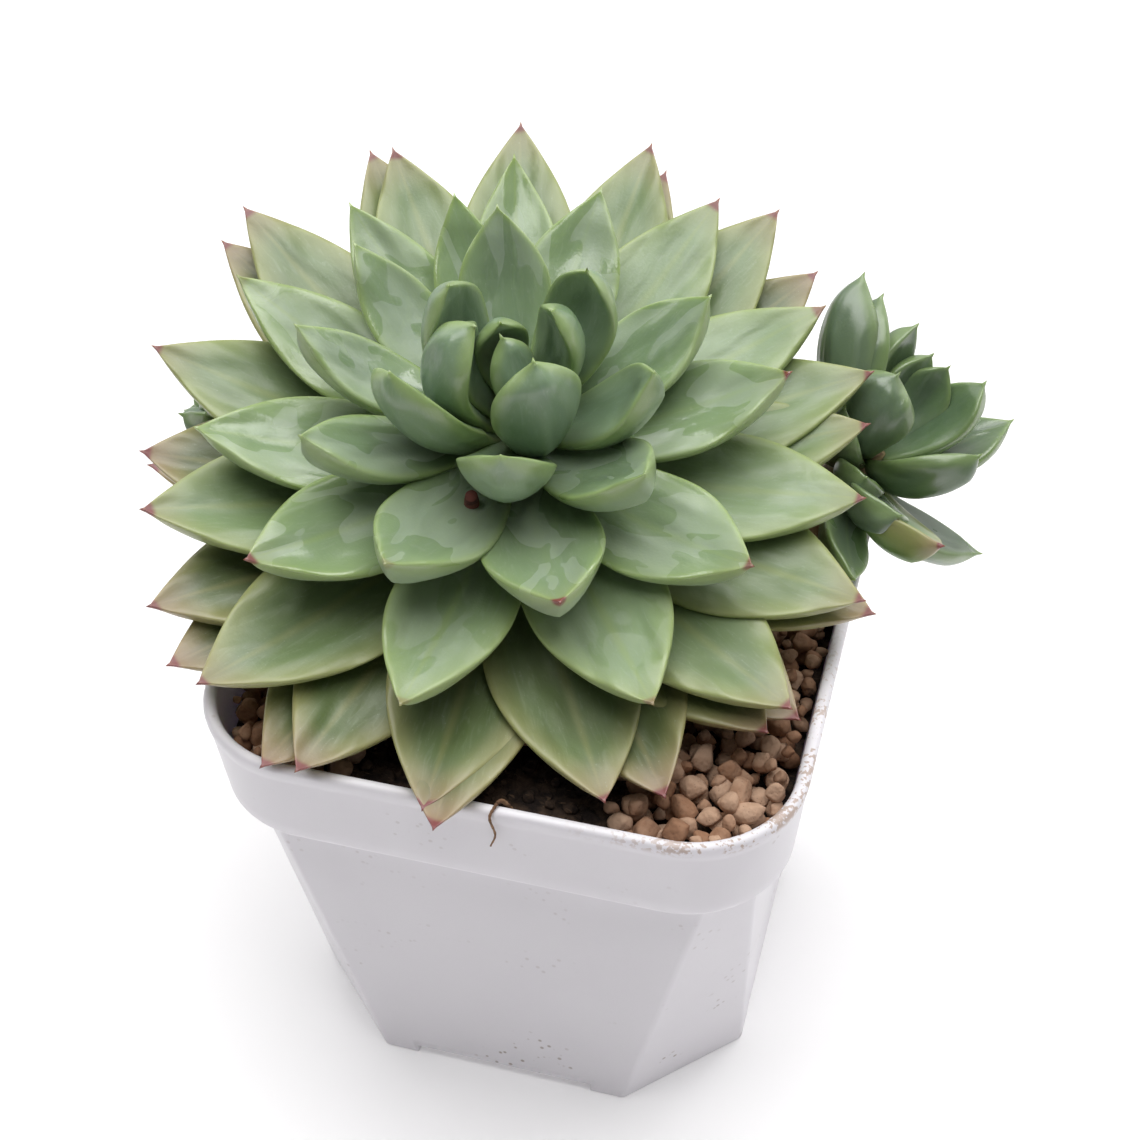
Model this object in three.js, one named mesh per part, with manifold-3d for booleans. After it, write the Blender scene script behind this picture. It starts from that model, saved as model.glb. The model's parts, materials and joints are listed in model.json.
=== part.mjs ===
// A rosette succulent with two daughter rosettes, growing in a square nursery pot.
// Millimetres, +Z up. The pot stands on z = 0 with the centre of its underside at the origin,
// its sides lie along X and Y, and the front of the plant is -Y.
import * as THREE from 'three';
import Module from 'manifold-3d';

const wasm = await Module();
wasm.setup();

// ---------------------------------------------------------------- driving dimensions

const CLEARANCE = 0.3;          // gap kept between any two separate pieces

const POT = {
  height: 76,                   // foot to lip
  rimHalf: 45,                  // half the width over the lip
  rimCorner: 17,                // corner radius of the lip
  collarHalf: 43.5,             // half the width at the bottom of the collar
  collarCorner: 16,             // corner radius there
  collarHeight: 16.5,           // collar, measured down from the lip
  bodyTopHalf: 39.5,            // half the width of the body just under the collar
  bodyTopCut: 6,                // corner cut of the body there
  footHalf: 37,                 // half the width of the body at the foot
  footCut: 16.5,                // corner cut at the foot
  lipRound: 1.2,                // rounding of the lip
  cornerSteps: 5,               // facets in each rounded corner
  wall: 1.8,
  floor: 3,
};

const DRAIN = {
  width: 30,                    // length of the notch at the foot of each side
  height: 1.6,
  reach: 7,                     // how far the notch runs in under the pot
  slotWidth: 20,                // slot up through the floor at the inner end of the notch
  slotGap: 3,
};

const FILL = {
  gravelBelowLip: 4,            // mean level of the gravel, down from the lip
  gravelDepth: 6,
  bumps: 0.7,                   // height of the bumps in the gravel
  bareHalf: 20,                 // half the length of the bare strip of mix along the front
  bareBelowGravel: 2,
  bareDepth: 15,                // how far the bare strip runs back from the front wall
  cells: 9,                     // gravel surface cells along a side
};
const gravelTop = POT.height - FILL.gravelBelowLip;
const mixTop = gravelTop - FILL.gravelDepth;
const bareTop = gravelTop - FILL.bareBelowGravel;

const CROWN = {
  restGap: 2.5,                 // how far above the lip a leaf tip rests that would dip below it
  foot: new THREE.Vector3(-10, 13, POT.height + 4),   // where the main rosette's axis starts
  leanFront: 18,                // degrees that the axis leans to the front
  leanRight: 7,                 // degrees that it leans to the right
};

const STEM = {
  topRadius: 2.6,
  footRadius: 7,
  top: 31,                      // along the axis, from the crown's foot
  buried: 14,                   // how far the rootstock reaches below the gravel
  roots: 5,
  rootRadius: 1.6,
  rootReach: 22,
  rootDrop: 30,
};

// How a leaf of the main rosette changes with age: 0 is the newest, 1 the oldest in sight.
// reach and rise place the tip, out from the axis and along it. seat is where it leaves the stem.
const GROWTH = {
  age:   [0.00, 0.10, 0.20, 0.36, 0.56, 0.76, 0.95, 1.10, 1.40],
  reach: [3.5, 8.0, 19.0, 33.0, 47.0, 57.0, 59.0, 59.0, 50.0],
  rise:  [43.0, 50.0, 46.0, 37.0, 29.0, 23.0, 16.0, 10.0, -14.0],
  seat:  [29.0, 25.0, 24.0, 23.0, 19.0, 13.0, 7.5, 4.0, -2.0],
  width: [7.0, 14.5, 15.5, 17.5, 20.0, 22.0, 22.5, 22.0, 20.0],
  thick: [2.6, 4.6, 5.0, 5.4, 5.2, 5.0, 4.6, 4.4, 4.0],
  bow:   [0.06, 0.10, 0.09, 0.08, 0.07, 0.05, 0.04, 0.02, -0.05],
};

// Leaves of the heart, joined at their feet: [azimuth in degrees, age, extra reach, share of the
// law's width]. Where the reach comes out negative, the tip leans over the axis.
const HEART_LEAVES = [
  [130, 0.02, 0, 1], [325, 0.01, -6.5, 1], [182, 0.06, 0, 0.8],
  [45, 0.08, 0, 0.78], [158, 0.12, 1, 0.9], [203, 0.11, 0, 0.8], [308, 0.10, -1, 0.93],
  [62, 0.19, 0, 0.82], [0, 0.21, 0, 0.76], [215, 0.18, 1, 0.95], [280, 0.20, 0, 0.9],
];

// Leaves that grow singly on the stem: [azimuth, age, extra reach, share of the law's width].
const SINGLE_LEAVES = [
  [110, 0.30, 0, 0.84], [40, 0.34, 0, 0.82], [120, 0.38, 0, 0.68], [150, 0.36, 0, 0.66],
  [180, 0.35, 0, 0.62], [215, 0.34, 0, 0.68], [255, 0.38, 0, 0.95], [295, 0.40, 0, 1],
  [328, 0.28, 0, 0.9], [85, 0.44, 0, 0.85], [20, 0.46, 0, 0.86], [335, 0.50, 0, 0.95],
  [105, 0.56, 0, 0.75], [140, 0.51, 0, 0.76], [165, 0.58, 0, 0.76], [200, 0.54, 0, 0.86],
  [230, 0.53, 0, 0.92], [267, 0.60, 0, 0.9], [307, 0.62, 0, 1], [38, 0.64, 0, 0.85],
  [67, 0.66, 0, 0.9], [0, 0.66, 0, 0.95], [25, 0.71, 0, 0.9], [60, 0.78, 2, 0.9],
  [83, 0.76, 2, 0.9], [104, 0.76, 2, 0.92], [125, 0.76, 0, 0.9], [150, 0.80, 3, 0.88],
  [180, 0.74, 0, 0.9], [210, 0.72, 0, 1], [238, 0.80, 2, 1], [255, 0.92, 1, 1],
  [273, 0.88, 1, 1], [297, 0.84, 1, 1], [325, 0.76, 2, 1], [345, 0.76, 0, 1],
  [50, 0.92, 0, 0.85], [80, 0.88, 0, 0.85], [128, 0.82, 2, 0.85], [155, 0.90, 2, 0.85],
  [195, 0.92, -3, 1], [222, 0.90, 0, 1], [230, 0.98, 1, 1], [250, 1.06, 2, 1],
  [275, 1.04, 3, 1], [305, 1.00, 1, 1], [322, 0.89, 0, 1], [328, 1.08, 0, 1],
  [347, 0.92, 0, 1], [16, 0.75, -4, 0.8],
];

// The oldest leaves, low at the back, still joined to the stem: [azimuth, age].
const OLD_LEAVES = [
  [100, 1.15], [145, 1.20], [60, 1.24], [80, 1.32], [112, 1.38], [138, 1.33], [190, 1.16],
];

const LEAF = {
  stations: [0, 0.3, 0.58, 0.8, 0.93],   // sections along a leaf of the main rosette
  offsetStations: [0, 0.4, 0.85],         // and along the small leaves of the daughters
  ages: [0.1, 0.3, 0.6],
  widest: [0.64, 0.58, 0.55],   // where along the leaf it is widest, by age
  point: [2.6, 2.1, 1.95],      // how blunt the end is, by age: 1 is a straight-sided point
  footWidth: [0.26, 0.42, 0.42],          // width of the foot, as a share of the widest, by age
  heartFoot: 2.5,               // how far from the axis a leaf of the heart starts
  footThick: 0.5,
  cup: 0.10,                    // how far the margins rise, as a share of the half width
  spine: 0.9,                   // length of the hard point at the tip
};

// Daughter rosettes: the route of a stalk from the mix to a crown, with heights from the lip, and
// leaves round the crown's own axis, [azimuth, lift in degrees, length, width, age, roll].
const OFFSETS = [
  {
    name: 'offset_right',
    route: [[28, 27, -14], [31, 28, -2], [37, 31, 4.5], [41, 30, 8]],
    lean: [42, 22, 58],
    stalkRadius: 3,
    thick: 4.2,
    leaves: [
      [151, 54, 28, 13, 0.2, 50], [154, 48, 31, 14, 0.4, 60], [137, 66, 25, 8, 0.25], [115, 73, 22, 8, 0.2],
      [86, 77, 22, 9, 0.2], [33, 73, 24.5, 11, 0.25], [34, 48, 27, 12, 0.5], [-41, 53, 22, 12, 0.25],
      [-144, 65, 20, 12, 0.1, 30], [-94, 22, 12, 9, 0.3], [-71, 16, 18, 11, 0.3], [-54, 15, 23, 13, 0.6],
      [12, 3, 26, 11, 0.4], [-74, -14, 23, 9, 0.5], [60, 20, 22, 11, 0.5], [100, 25, 22, 11, 0.5],
      [10, 60, 12, 9, 0.1], [-150, 40, 14, 10, 0.3], [180, 25, 20, 11, 0.5],
    ],
  },
  {
    name: 'offset_left',
    route: [[-32, 21, -14], [-36, 21, -4], [-41, 20, 4], [-48, 19, 7], [-57, 17, 11]],
    lean: [-40, -6, 45],
    stalkRadius: 2.4,
    thick: 3.2,
    leaves: [
      [20, 22, 12, 9, 0.45], [92, 22, 12, 9, 0.45], [164, 22, 13, 9, 0.45], [236, 22, 12, 9, 0.45],
      [308, 22, 12, 9, 0.45], [50, 52, 10, 8, 0.3], [140, 52, 10, 8, 0.3], [230, 52, 10, 8, 0.3],
      [320, 52, 10, 8, 0.3], [10, 78, 7, 6, 0.15], [190, 78, 7, 6, 0.15],
    ],
  },
];

const ROOTLET = {
  radius: 0.35,
  x: 4,                         // where it crosses the lip
  drop: 7,                      // how far it hangs down the front of the collar
};

// ---------------------------------------------------------------- small helpers

const rad = THREE.MathUtils.degToRad;

/** Value of a law given at rising places, read at x by straight interpolation. */
function law(places, values, x) {
  const last = places.length - 1;
  if (x <= places[0]) return values[0];
  if (x >= places[last]) return values[last];
  const i = places.findIndex((p) => p > x) - 1;
  const share = (x - places[i]) / (places[i + 1] - places[i]);
  return THREE.MathUtils.lerp(values[i], values[i + 1], share);
}

/** Solid from an indexed triangle list. */
function solid(points, faces) {
  const vertProperties = new Float32Array(points.flatMap((p) => [p.x, p.y, p.z]));
  const mesh = new wasm.Mesh({ numProp: 3, vertProperties, triVerts: new Uint32Array(faces.flat()) });
  mesh.merge();
  return new wasm.Manifold(mesh);
}

/** Solid skinned over rings of equal length, anticlockwise seen from the last ring. */
function loft(rings, tip = null) {
  const n = rings[0].length;
  const points = rings.flat();
  const faces = [];
  for (let r = 0; r + 1 < rings.length; r += 1) {
    for (let i = 0; i < n; i += 1) {
      const j = (i + 1) % n;
      const a = r * n + i;
      const b = r * n + j;
      faces.push([a, b, b + n], [a, b + n, a + n]);
    }
  }
  for (let i = 1; i + 1 < n; i += 1) {
    faces.push([0, i + 1, i]);
  }
  const last = (rings.length - 1) * n;
  if (tip) {
    points.push(tip);
    for (let i = 0; i < n; i += 1) {
      faces.push([last + i, last + ((i + 1) % n), points.length - 1]);
    }
  } else {
    for (let i = 1; i + 1 < n; i += 1) {
      faces.push([last, last + i, last + i + 1]);
    }
  }
  return solid(points, faces);
}

/** Box between two corners. */
function block(low, high) {
  const ring = (z) => [
    new THREE.Vector3(low[0], low[1], z),
    new THREE.Vector3(high[0], low[1], z),
    new THREE.Vector3(high[0], high[1], z),
    new THREE.Vector3(low[0], high[1], z),
  ];
  return loft([ring(low[2]), ring(high[2])]);
}

/** Tapered round bar along a list of points. */
function bar(points, radii, sides = 6) {
  const rings = points.map((p, k) => {
    const before = points[Math.max(k - 1, 0)];
    const after = points[Math.min(k + 1, points.length - 1)];
    const along = after.clone().sub(before).normalize();
    const hint = Math.abs(along.z) > 0.8 ? new THREE.Vector3(0, 1, 0) : new THREE.Vector3(0, 0, 1);
    const u = new THREE.Vector3().crossVectors(hint, along).normalize();
    const v = new THREE.Vector3().crossVectors(along, u);
    return Array.from({ length: sides }, (_, i) => {
      const a = (2 * Math.PI * i) / sides;
      return p.clone()
        .addScaledVector(u, radii[k] * Math.cos(a))
        .addScaledVector(v, radii[k] * Math.sin(a));
    });
  });
  return loft(rings);
}

/** The largest of the separate bodies in a solid. */
function mainBody(shape) {
  const bodies = shape.decompose();
  return bodies.reduce((best, b) => (b.volume() > best.volume() ? b : best));
}

/** Do the bounding boxes of two solids meet? */
function near(a, b) {
  const p = a.boundingBox();
  const q = b.boundingBox();
  return [0, 1, 2].every((k) => p.min[k] < q.max[k] && q.min[k] < p.max[k]);
}

/** Cut every solid in a list from a shape. */
function without(shape, cutters) {
  return cutters.filter((c) => near(shape, c)).reduce((left, c) => left.subtract(c), shape);
}

/** Named mesh of a solid. */
function piece(name, shape, colour, roughness) {
  const out = shape.getMesh();
  const geometry = new THREE.BufferGeometry();
  geometry.setAttribute('position', new THREE.BufferAttribute(new Float32Array(out.vertProperties), 3));
  geometry.setIndex(Array.from(out.triVerts));
  geometry.computeVertexNormals();
  const material = new THREE.MeshStandardMaterial({ color: colour, roughness, metalness: 0 });
  const mesh = new THREE.Mesh(geometry, material);
  mesh.name = name;
  return mesh;
}

// ---------------------------------------------------------------- pot and filling

/** Rounded square at height z: half width and corner radius. */
function roundedSquare(half, radius, z, steps = POT.cornerSteps) {
  const ring = [];
  for (let corner = 0; corner < 4; corner += 1) {
    for (let i = 0; i <= steps; i += 1) {
      const a = rad(90 * corner + (90 * i) / steps);
      const turn = rad(90 * corner + 45);
      const centre = (half - radius) * Math.SQRT2;
      ring.push(new THREE.Vector3(
        centre * Math.cos(turn) + radius * Math.cos(a),
        centre * Math.sin(turn) + radius * Math.sin(a),
        z,
      ));
    }
  }
  return ring;
}

/** Square with its corners cut straight, with as many points as roundedSquare. */
function cutSquare(half, cut, z, steps = POT.cornerSteps) {
  const ring = [];
  for (let corner = 0; corner < 4; corner += 1) {
    const turn = new THREE.Matrix4().makeRotationZ(rad(90 * corner));
    for (let i = 0; i <= steps; i += 1) {
      const p = new THREE.Vector3(half - (cut * i) / steps, half - cut + (cut * i) / steps, z);
      ring.push(p.applyMatrix4(turn));
    }
  }
  return ring;
}

const collarBottom = POT.height - POT.collarHeight;

/** The pot's outline drawn in by an inset: the outer skin at 0, the inner skin at the wall. */
function potRings(inset, bottom, top) {
  const bodyTop = collarBottom + inset;
  const share = bottom / bodyTop;
  const half = THREE.MathUtils.lerp(POT.footHalf, POT.bodyTopHalf, share) - inset;
  const cut = THREE.MathUtils.lerp(POT.footCut, POT.bodyTopCut, share);
  const collar = (z) => {
    const rise = (z - collarBottom) / POT.collarHeight;
    return [
      THREE.MathUtils.lerp(POT.collarHalf, POT.rimHalf, rise) - inset,
      THREE.MathUtils.lerp(POT.collarCorner, POT.rimCorner, rise) - inset,
    ];
  };
  const rings = [
    cutSquare(half, cut, bottom),
    cutSquare(POT.bodyTopHalf - inset, POT.bodyTopCut, bodyTop - 0.6),
    roundedSquare(...collar(bodyTop), bodyTop),
  ];
  const [rimHalf, rimCorner] = collar(top);
  if (inset <= 0) {
    rings.push(roundedSquare(rimHalf, rimCorner, top - POT.lipRound));
    rings.push(roundedSquare(rimHalf - POT.lipRound * 0.3, rimCorner, top - POT.lipRound * 0.3));
    rings.push(roundedSquare(rimHalf - POT.lipRound, rimCorner - POT.lipRound, top));
  } else {
    rings.push(roundedSquare(rimHalf, rimCorner, top));
  }
  return rings;
}

/** Space inside the pot, drawn in from the wall by a gap, from one level to another. */
function potInside(gap, bottom, top) {
  return loft(potRings(POT.wall + gap, bottom, top));
}

function drainCutters() {
  const cutters = [];
  for (let side = 0; side < 4; side += 1) {
    const outer = -POT.footHalf - 1;
    const inner = -POT.footHalf + DRAIN.reach;
    const notch = block([-DRAIN.width / 2, outer, -1], [DRAIN.width / 2, inner, DRAIN.height]);
    const slot = block(
      [-DRAIN.slotWidth / 2, inner - DRAIN.slotGap, 0],
      [DRAIN.slotWidth / 2, inner, POT.floor + 1],
    );
    cutters.push(notch.add(slot).rotate([0, 0, 90 * side]));
  }
  return cutters;
}

const potSolid = without(
  loft(potRings(0, 0, POT.height)).subtract(potInside(0, POT.floor, POT.height + 1)),
  drainCutters(),
);

// ---------------------------------------------------------------- stem and roots

const crownTurn = new THREE.Matrix4()
  .makeRotationX(rad(CROWN.leanFront))
  .multiply(new THREE.Matrix4().makeRotationY(rad(CROWN.leanRight)));
const toWorld = new THREE.Matrix4().makeTranslation(CROWN.foot).multiply(crownTurn);

/** Point of the main axis at a distance from the crown's foot. */
function onAxis(along) {
  return new THREE.Vector3(0, 0, along).applyMatrix4(toWorld);
}

/** Radius of the stem at a distance along the axis. */
function stemRadius(along) {
  return law([0, STEM.top], [STEM.footRadius, STEM.topRadius], along);
}

function stemSolid(grow) {
  const low = onAxis(-4);
  const root = new THREE.Vector3(low.x, low.y, gravelTop - STEM.buried);
  const heights = [-4, 0, STEM.top / 2, STEM.top];
  const points = [root, ...heights.map(onAxis)];
  const radii = [STEM.footRadius * 0.8, ...heights.map(stemRadius)].map((r) => r + grow);
  let shape = bar(points, radii, 10);
  for (let i = 0; i < STEM.roots; i += 1) {
    const a = rad((360 * i) / STEM.roots + 20);
    const out = new THREE.Vector3(Math.cos(a), Math.sin(a), 0);
    const route = [0, 0.35, 0.7, 1].map((s) => root.clone()
      .addScaledVector(out, STEM.rootReach * Math.sin(s * 1.3))
      .add(new THREE.Vector3(0, 0, 2 - STEM.rootDrop * s * s)));
    const thick = [1, 0.8, 0.55, 0.3].map((s) => s * STEM.rootRadius + grow);
    shape = shape.add(bar(route, thick, 5));
  }
  return shape;
}


// ---------------------------------------------------------------- leaves

/** Half width of a leaf of some age at a place along it, as a share of the widest. */
function outline(t, age) {
  const widest = law(LEAF.ages, LEAF.widest, age);
  if (t < widest) {
    const foot = law(LEAF.ages, LEAF.footWidth, age);
    return foot + (1 - foot) * Math.sin((Math.PI / 2) * (t / widest)) ** 1.2;
  }
  const s = (t - widest) / (1 - widest);
  return 1 - s ** law(LEAF.ages, LEAF.point, age);
}

/** Thickness of a leaf at a place along it, as a share of the thickest. */
function body(t) {
  const s = t < 0.5 ? t / 0.5 : 1 - (t - 0.5) / 0.62;
  return LEAF.footThick + (1 - LEAF.footThick) * Math.sin((Math.PI / 2) * Math.max(s, 0));
}

/**
 * Leaf in a crown's own frame: foot and tip are [out, along], width and thick its largest sizes,
 * bow how far the midline sags below its chord, roll how far it twists round its midline over the
 * first quarter, grow a skin added all round.
 */
function leafSolid(leaf, grow = 0) {
  const { foot, tip, width, thick, bow, azimuth, age, matrix, stations, roll = 0 } = leaf;
  const chord = new THREE.Vector2(tip[0] - foot[0], tip[1] - foot[1]);
  const sag = new THREE.Vector2(chord.y, -chord.x).multiplyScalar(2 * bow);
  const middle = new THREE.Vector2((foot[0] + tip[0]) / 2, (foot[1] + tip[1]) / 2).add(sag);
  const curve = new THREE.QuadraticBezierCurve(new THREE.Vector2(...foot), middle, new THREE.Vector2(...tip));
  const place = new THREE.Matrix4().makeRotationZ(rad(azimuth)).premultiply(matrix);
  const point = (at, along, up, side, rise, turn) => {
    const p = at.clone().addScaledVector(up, side * Math.sin(turn) + rise * Math.cos(turn));
    const across = side * Math.cos(turn) - rise * Math.sin(turn);
    return new THREE.Vector3(p.x + along.x, across, p.y + along.y).applyMatrix4(place);
  };
  const none = new THREE.Vector2();
  const rings = stations.map((t, k) => {
    const at = curve.getPoint(t);
    const tangent = curve.getTangent(t);
    const up = new THREE.Vector2(-tangent.y, tangent.x);
    const along = k === 0 ? tangent.clone().multiplyScalar(-grow) : none;
    const half = (width / 2) * outline(t, age) + 2 * grow;
    const deep = thick * body(t) + grow;
    const lift = LEAF.cup * half + grow / 2;
    const under = grow ? 0.72 : 0.62;
    const section = [
      [0, -deep], [under * half, -0.74 * deep], [half, lift],
      [0, grow], [-half, lift], [-under * half, -0.74 * deep],
    ];
    const turn = rad(roll) * Math.min(t / 0.25, 1);
    return section.map(([side, rise]) => point(at, along, up, side, rise, turn));
  });
  const end = curve.getPoint(1);
  const ahead = curve.getTangent(1).multiplyScalar(LEAF.spine + 2 * grow);
  const rise = new THREE.Vector2(-curve.getTangent(1).y, curve.getTangent(1).x);
  return loft(rings, point(end, ahead, rise, 0, -0.2, 0));
}

/** Sizes of a leaf of the main rosette from its azimuth and age. */
function leafSizes(azimuth, age, extra = 0, share = 1) {
  const at = (values) => law(GROWTH.age, values, age);
  const seat = at(GROWTH.seat);
  const inHeart = age < 0.25;
  const start = inHeart ? LEAF.heartFoot : stemRadius(seat) + CLEARANCE;
  const tip = [at(GROWTH.reach) + extra, at(GROWTH.rise)];
  const end = new THREE.Vector3(tip[0] * Math.cos(rad(azimuth)), tip[0] * Math.sin(rad(azimuth)), tip[1]);
  const dip = POT.height + CROWN.restGap - end.applyMatrix4(toWorld).z;
  if (dip > 0) tip[1] += dip / Math.cos(rad(CROWN.leanFront));
  return {
    foot: [start, seat],
    tip,
    width: at(GROWTH.width) * share,
    thick: at(GROWTH.thick),
    bow: at(GROWTH.bow),
    azimuth,
    age,
    matrix: toWorld,
    stations: LEAF.stations,
  };
}

/** The stem with the oldest leaves still on it. */
function stemWithLeaves(grow) {
  return OLD_LEAVES.reduce((all, [azimuth, age]) => {
    const sizes = leafSizes(azimuth, age);
    sizes.foot[0] = STEM.footRadius * 0.6;
    return all.add(leafSolid(sizes, grow));
  }, stemSolid(grow));
}

const stemRoom = stemWithLeaves(CLEARANCE);

const core = bar(
  [onAxis(STEM.top + CLEARANCE - 5), onAxis(STEM.top + CLEARANCE), onAxis(STEM.top + 4)],
  [STEM.topRadius + 1.2, STEM.topRadius, 0.8],
  8,
).subtract(stemRoom);

const heartLeaves = HEART_LEAVES.map((spec) => leafSizes(...spec));
const heart = mainBody(
  heartLeaves.reduce((all, leaf) => all.add(leafSolid(leaf)), core).subtract(stemRoom),
);
const heartRoom = heartLeaves.map((leaf) => leafSolid(leaf, CLEARANCE));

// Nothing that grows dips below the lip, except over the open mouth near the stem.
const potRoom = loft([
  roundedSquare(POT.rimHalf + CLEARANCE, POT.rimCorner, 0),
  roundedSquare(POT.rimHalf + CLEARANCE, POT.rimCorner, POT.height + CLEARANCE),
]);

const stem = stemWithLeaves(0);

const singles = SINGLE_LEAVES
  .map(([azimuth, age, extra, share]) => ({ age, sizes: leafSizes(azimuth, age, extra, share) }))
  .sort((a, b) => a.age - b.age);
const taken = [stemRoom, potRoom, ...heartRoom];
for (const leaf of singles) {
  leaf.shape = mainBody(without(leafSolid(leaf.sizes), taken));
  taken.push(leafSolid(leaf.sizes, CLEARANCE));
}

// ---------------------------------------------------------------- daughter rosettes

function offsetSolid(offset, grow) {
  const lean = new THREE.Vector3(...offset.lean).normalize();
  const turn = new THREE.Quaternion().setFromUnitVectors(new THREE.Vector3(0, 0, 1), lean);
  const route = offset.route.map(([x, y, z]) => new THREE.Vector3(x, y, POT.height + z));
  const crown = route[route.length - 1];
  const matrix = new THREE.Matrix4().compose(crown, turn, new THREE.Vector3(1, 1, 1));
  const r = offset.stalkRadius;
  const radii = [...route.map(() => r + grow), r * 0.5 + grow];
  let shape = bar([...route, crown.clone().addScaledVector(lean, 6)], radii, 8);
  for (const [azimuth, lift, length, width, age, roll = 0] of offset.leaves) {
    const sizes = {
      foot: [r * 0.4, 6 * (lift / 90)],
      tip: [length * Math.cos(rad(lift)), length * Math.sin(rad(lift))],
      width,
      thick: offset.thick,
      bow: 0.08,
      azimuth,
      age,
      matrix,
      stations: LEAF.offsetStations,
      roll,
    };
    shape = shape.add(leafSolid(sizes, grow));
  }
  return shape;
}

const wallRoom = loft(potRings(-CLEARANCE, 0, POT.height + CLEARANCE))
  .subtract(potInside(CLEARANCE, POT.floor, POT.height + 5));
const growth = [stemRoom, ...heartRoom, ...singles.map((leaf) => leafSolid(leaf.sizes, CLEARANCE))];
const stalkRooms = OFFSETS.map((o) => offsetSolid(o, CLEARANCE));
const offsets = OFFSETS.map((o) => mainBody(without(offsetSolid(o, 0), [wallRoom, ...growth])));

// ---------------------------------------------------------------- potting mix and gravel

const frontWall = -(POT.rimHalf + 1);
const bareBack = -(POT.collarHalf - POT.wall) + FILL.bareDepth;

function bareStrip(grow, top) {
  const side = FILL.bareHalf + grow;
  return block([-side, frontWall, mixTop - 1], [side, bareBack + grow, top]);
}

const mixBlock = potInside(CLEARANCE, POT.floor + CLEARANCE, mixTop)
  .add(potInside(CLEARANCE, POT.floor + CLEARANCE, bareTop).intersect(bareStrip(0, bareTop)));
const mix = mainBody(without(mixBlock, [stemRoom, ...stalkRooms]));

/** Bumpy sheet over the whole mouth, from under the gravel to its top. */
function gravelSheet() {
  const n = FILL.cells;
  const side = POT.rimHalf;
  const height = (i, j) => gravelTop
    + FILL.bumps * (Math.sin(i * 2.1 + j * 1.3) + Math.cos(i * 1.7 - j * 2.6)) / 2;
  const points = [];
  const faces = [];
  const at = (i, j) => i * (n + 1) + j;
  for (const level of [0, 1]) {
    for (let i = 0; i <= n; i += 1) {
      for (let j = 0; j <= n; j += 1) {
        const x = -side + (2 * side * i) / n;
        const y = -side + (2 * side * j) / n;
        const z = level ? height(i, j) : mixTop + CLEARANCE;
        points.push(new THREE.Vector3(x, y, z));
      }
    }
  }
  const upper = (n + 1) ** 2;
  for (let i = 0; i < n; i += 1) {
    for (let j = 0; j < n; j += 1) {
      const [a, b, c, d] = [at(i, j), at(i + 1, j), at(i + 1, j + 1), at(i, j + 1)];
      faces.push([upper + a, upper + b, upper + c], [upper + a, upper + c, upper + d]);
      faces.push([a, c, b], [a, d, c]);
    }
  }
  for (let i = 0; i < n; i += 1) {
    const edges = [
      [at(i, 0), at(i + 1, 0)],
      [at(n, i), at(n, i + 1)],
      [at(n - i, n), at(n - i - 1, n)],
      [at(0, n - i), at(0, n - i - 1)],
    ];
    for (const [a, b] of edges) {
      faces.push([a, b, upper + b], [a, upper + b, upper + a]);
    }
  }
  return solid(points, faces);
}

const gravel = mainBody(without(
  gravelSheet().intersect(potInside(CLEARANCE, POT.floor, POT.height)),
  [bareStrip(CLEARANCE, POT.height), stemRoom, ...stalkRooms],
));

// ---------------------------------------------------------------- rootlet over the lip

function rootletMesh() {
  const r = ROOTLET.radius;
  const off = r + CLEARANCE;
  const lip = POT.height;
  const front = -POT.rimHalf;
  const slope = (POT.rimHalf - POT.collarHalf) / POT.collarHeight;
  const inside = (below) => front + slope * below + POT.wall + off;
  const route = [
    [ROOTLET.x + 1.5, inside(2.5) + 0.6, lip - 2.5],
    [ROOTLET.x + 0.8, inside(0.6) + 0.1, lip - 0.6],
    [ROOTLET.x + 0.4, front + POT.wall, lip + off + 0.1],
    [ROOTLET.x, front + 0.6, lip + off + 0.1],
    [ROOTLET.x - 0.4, front - off - 0.1, lip - 0.8],
    [ROOTLET.x + 0.2, front - off, lip - ROOTLET.drop * 0.6],
    [ROOTLET.x - 0.6, front - off, lip - ROOTLET.drop],
  ];
  const path = new THREE.CatmullRomCurve3(route.map((p) => new THREE.Vector3(...p)));
  const circle = new THREE.Shape();
  circle.absarc(0, 0, r, 0, 2 * Math.PI);
  const geometry = new THREE.ExtrudeGeometry(circle, {
    steps: 10, bevelEnabled: false, extrudePath: path, curveSegments: 3,
  });
  const material = new THREE.MeshStandardMaterial({ color: 0x8a5a38, roughness: 0.8, metalness: 0 });
  const mesh = new THREE.Mesh(geometry, material);
  mesh.name = 'rootlet';
  return mesh;
}

// ---------------------------------------------------------------- assembly

const plant = new THREE.Group();
plant.name = 'potted_succulent';
plant.add(piece('pot', potSolid, 0xe6e6ee, 0.42));
plant.add(piece('potting_mix', mix, 0x2e2219, 0.95));
plant.add(piece('gravel', gravel, 0xc69a76, 0.9));
plant.add(piece('main_stem', stem, 0x8d7a55, 0.8));
plant.add(piece('heart', heart, 0x6f9a80, 0.45));
singles.forEach((leaf, k) => {
  const young = new THREE.Color(0x76a084);
  const colour = young.lerp(new THREE.Color(0xa3b278), Math.min(leaf.age, 1));
  plant.add(piece(`leaf_${String(k + 1).padStart(2, '0')}`, leaf.shape, colour, 0.45));
});
OFFSETS.forEach((o, k) => plant.add(piece(o.name, offsets[k], 0x7ea678, 0.45)));
plant.add(rootletMesh());

export default plant;
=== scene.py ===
"""Looks of a potted rosette succulent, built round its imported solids.

Lengths in this file are millimetres until a mesh is made, and metres from there on. The pot stands
on z = 0 with its centre at the origin and its sides along X and Y. The front of the plant is -Y.
"""

from __future__ import annotations

import json
import logging
import math
from dataclasses import dataclass, field, replace
from enum import Enum
from typing import Any, Callable, Iterable, Sequence

import bmesh
import bpy
import numpy as np
from mathutils import Matrix, Vector

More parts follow.
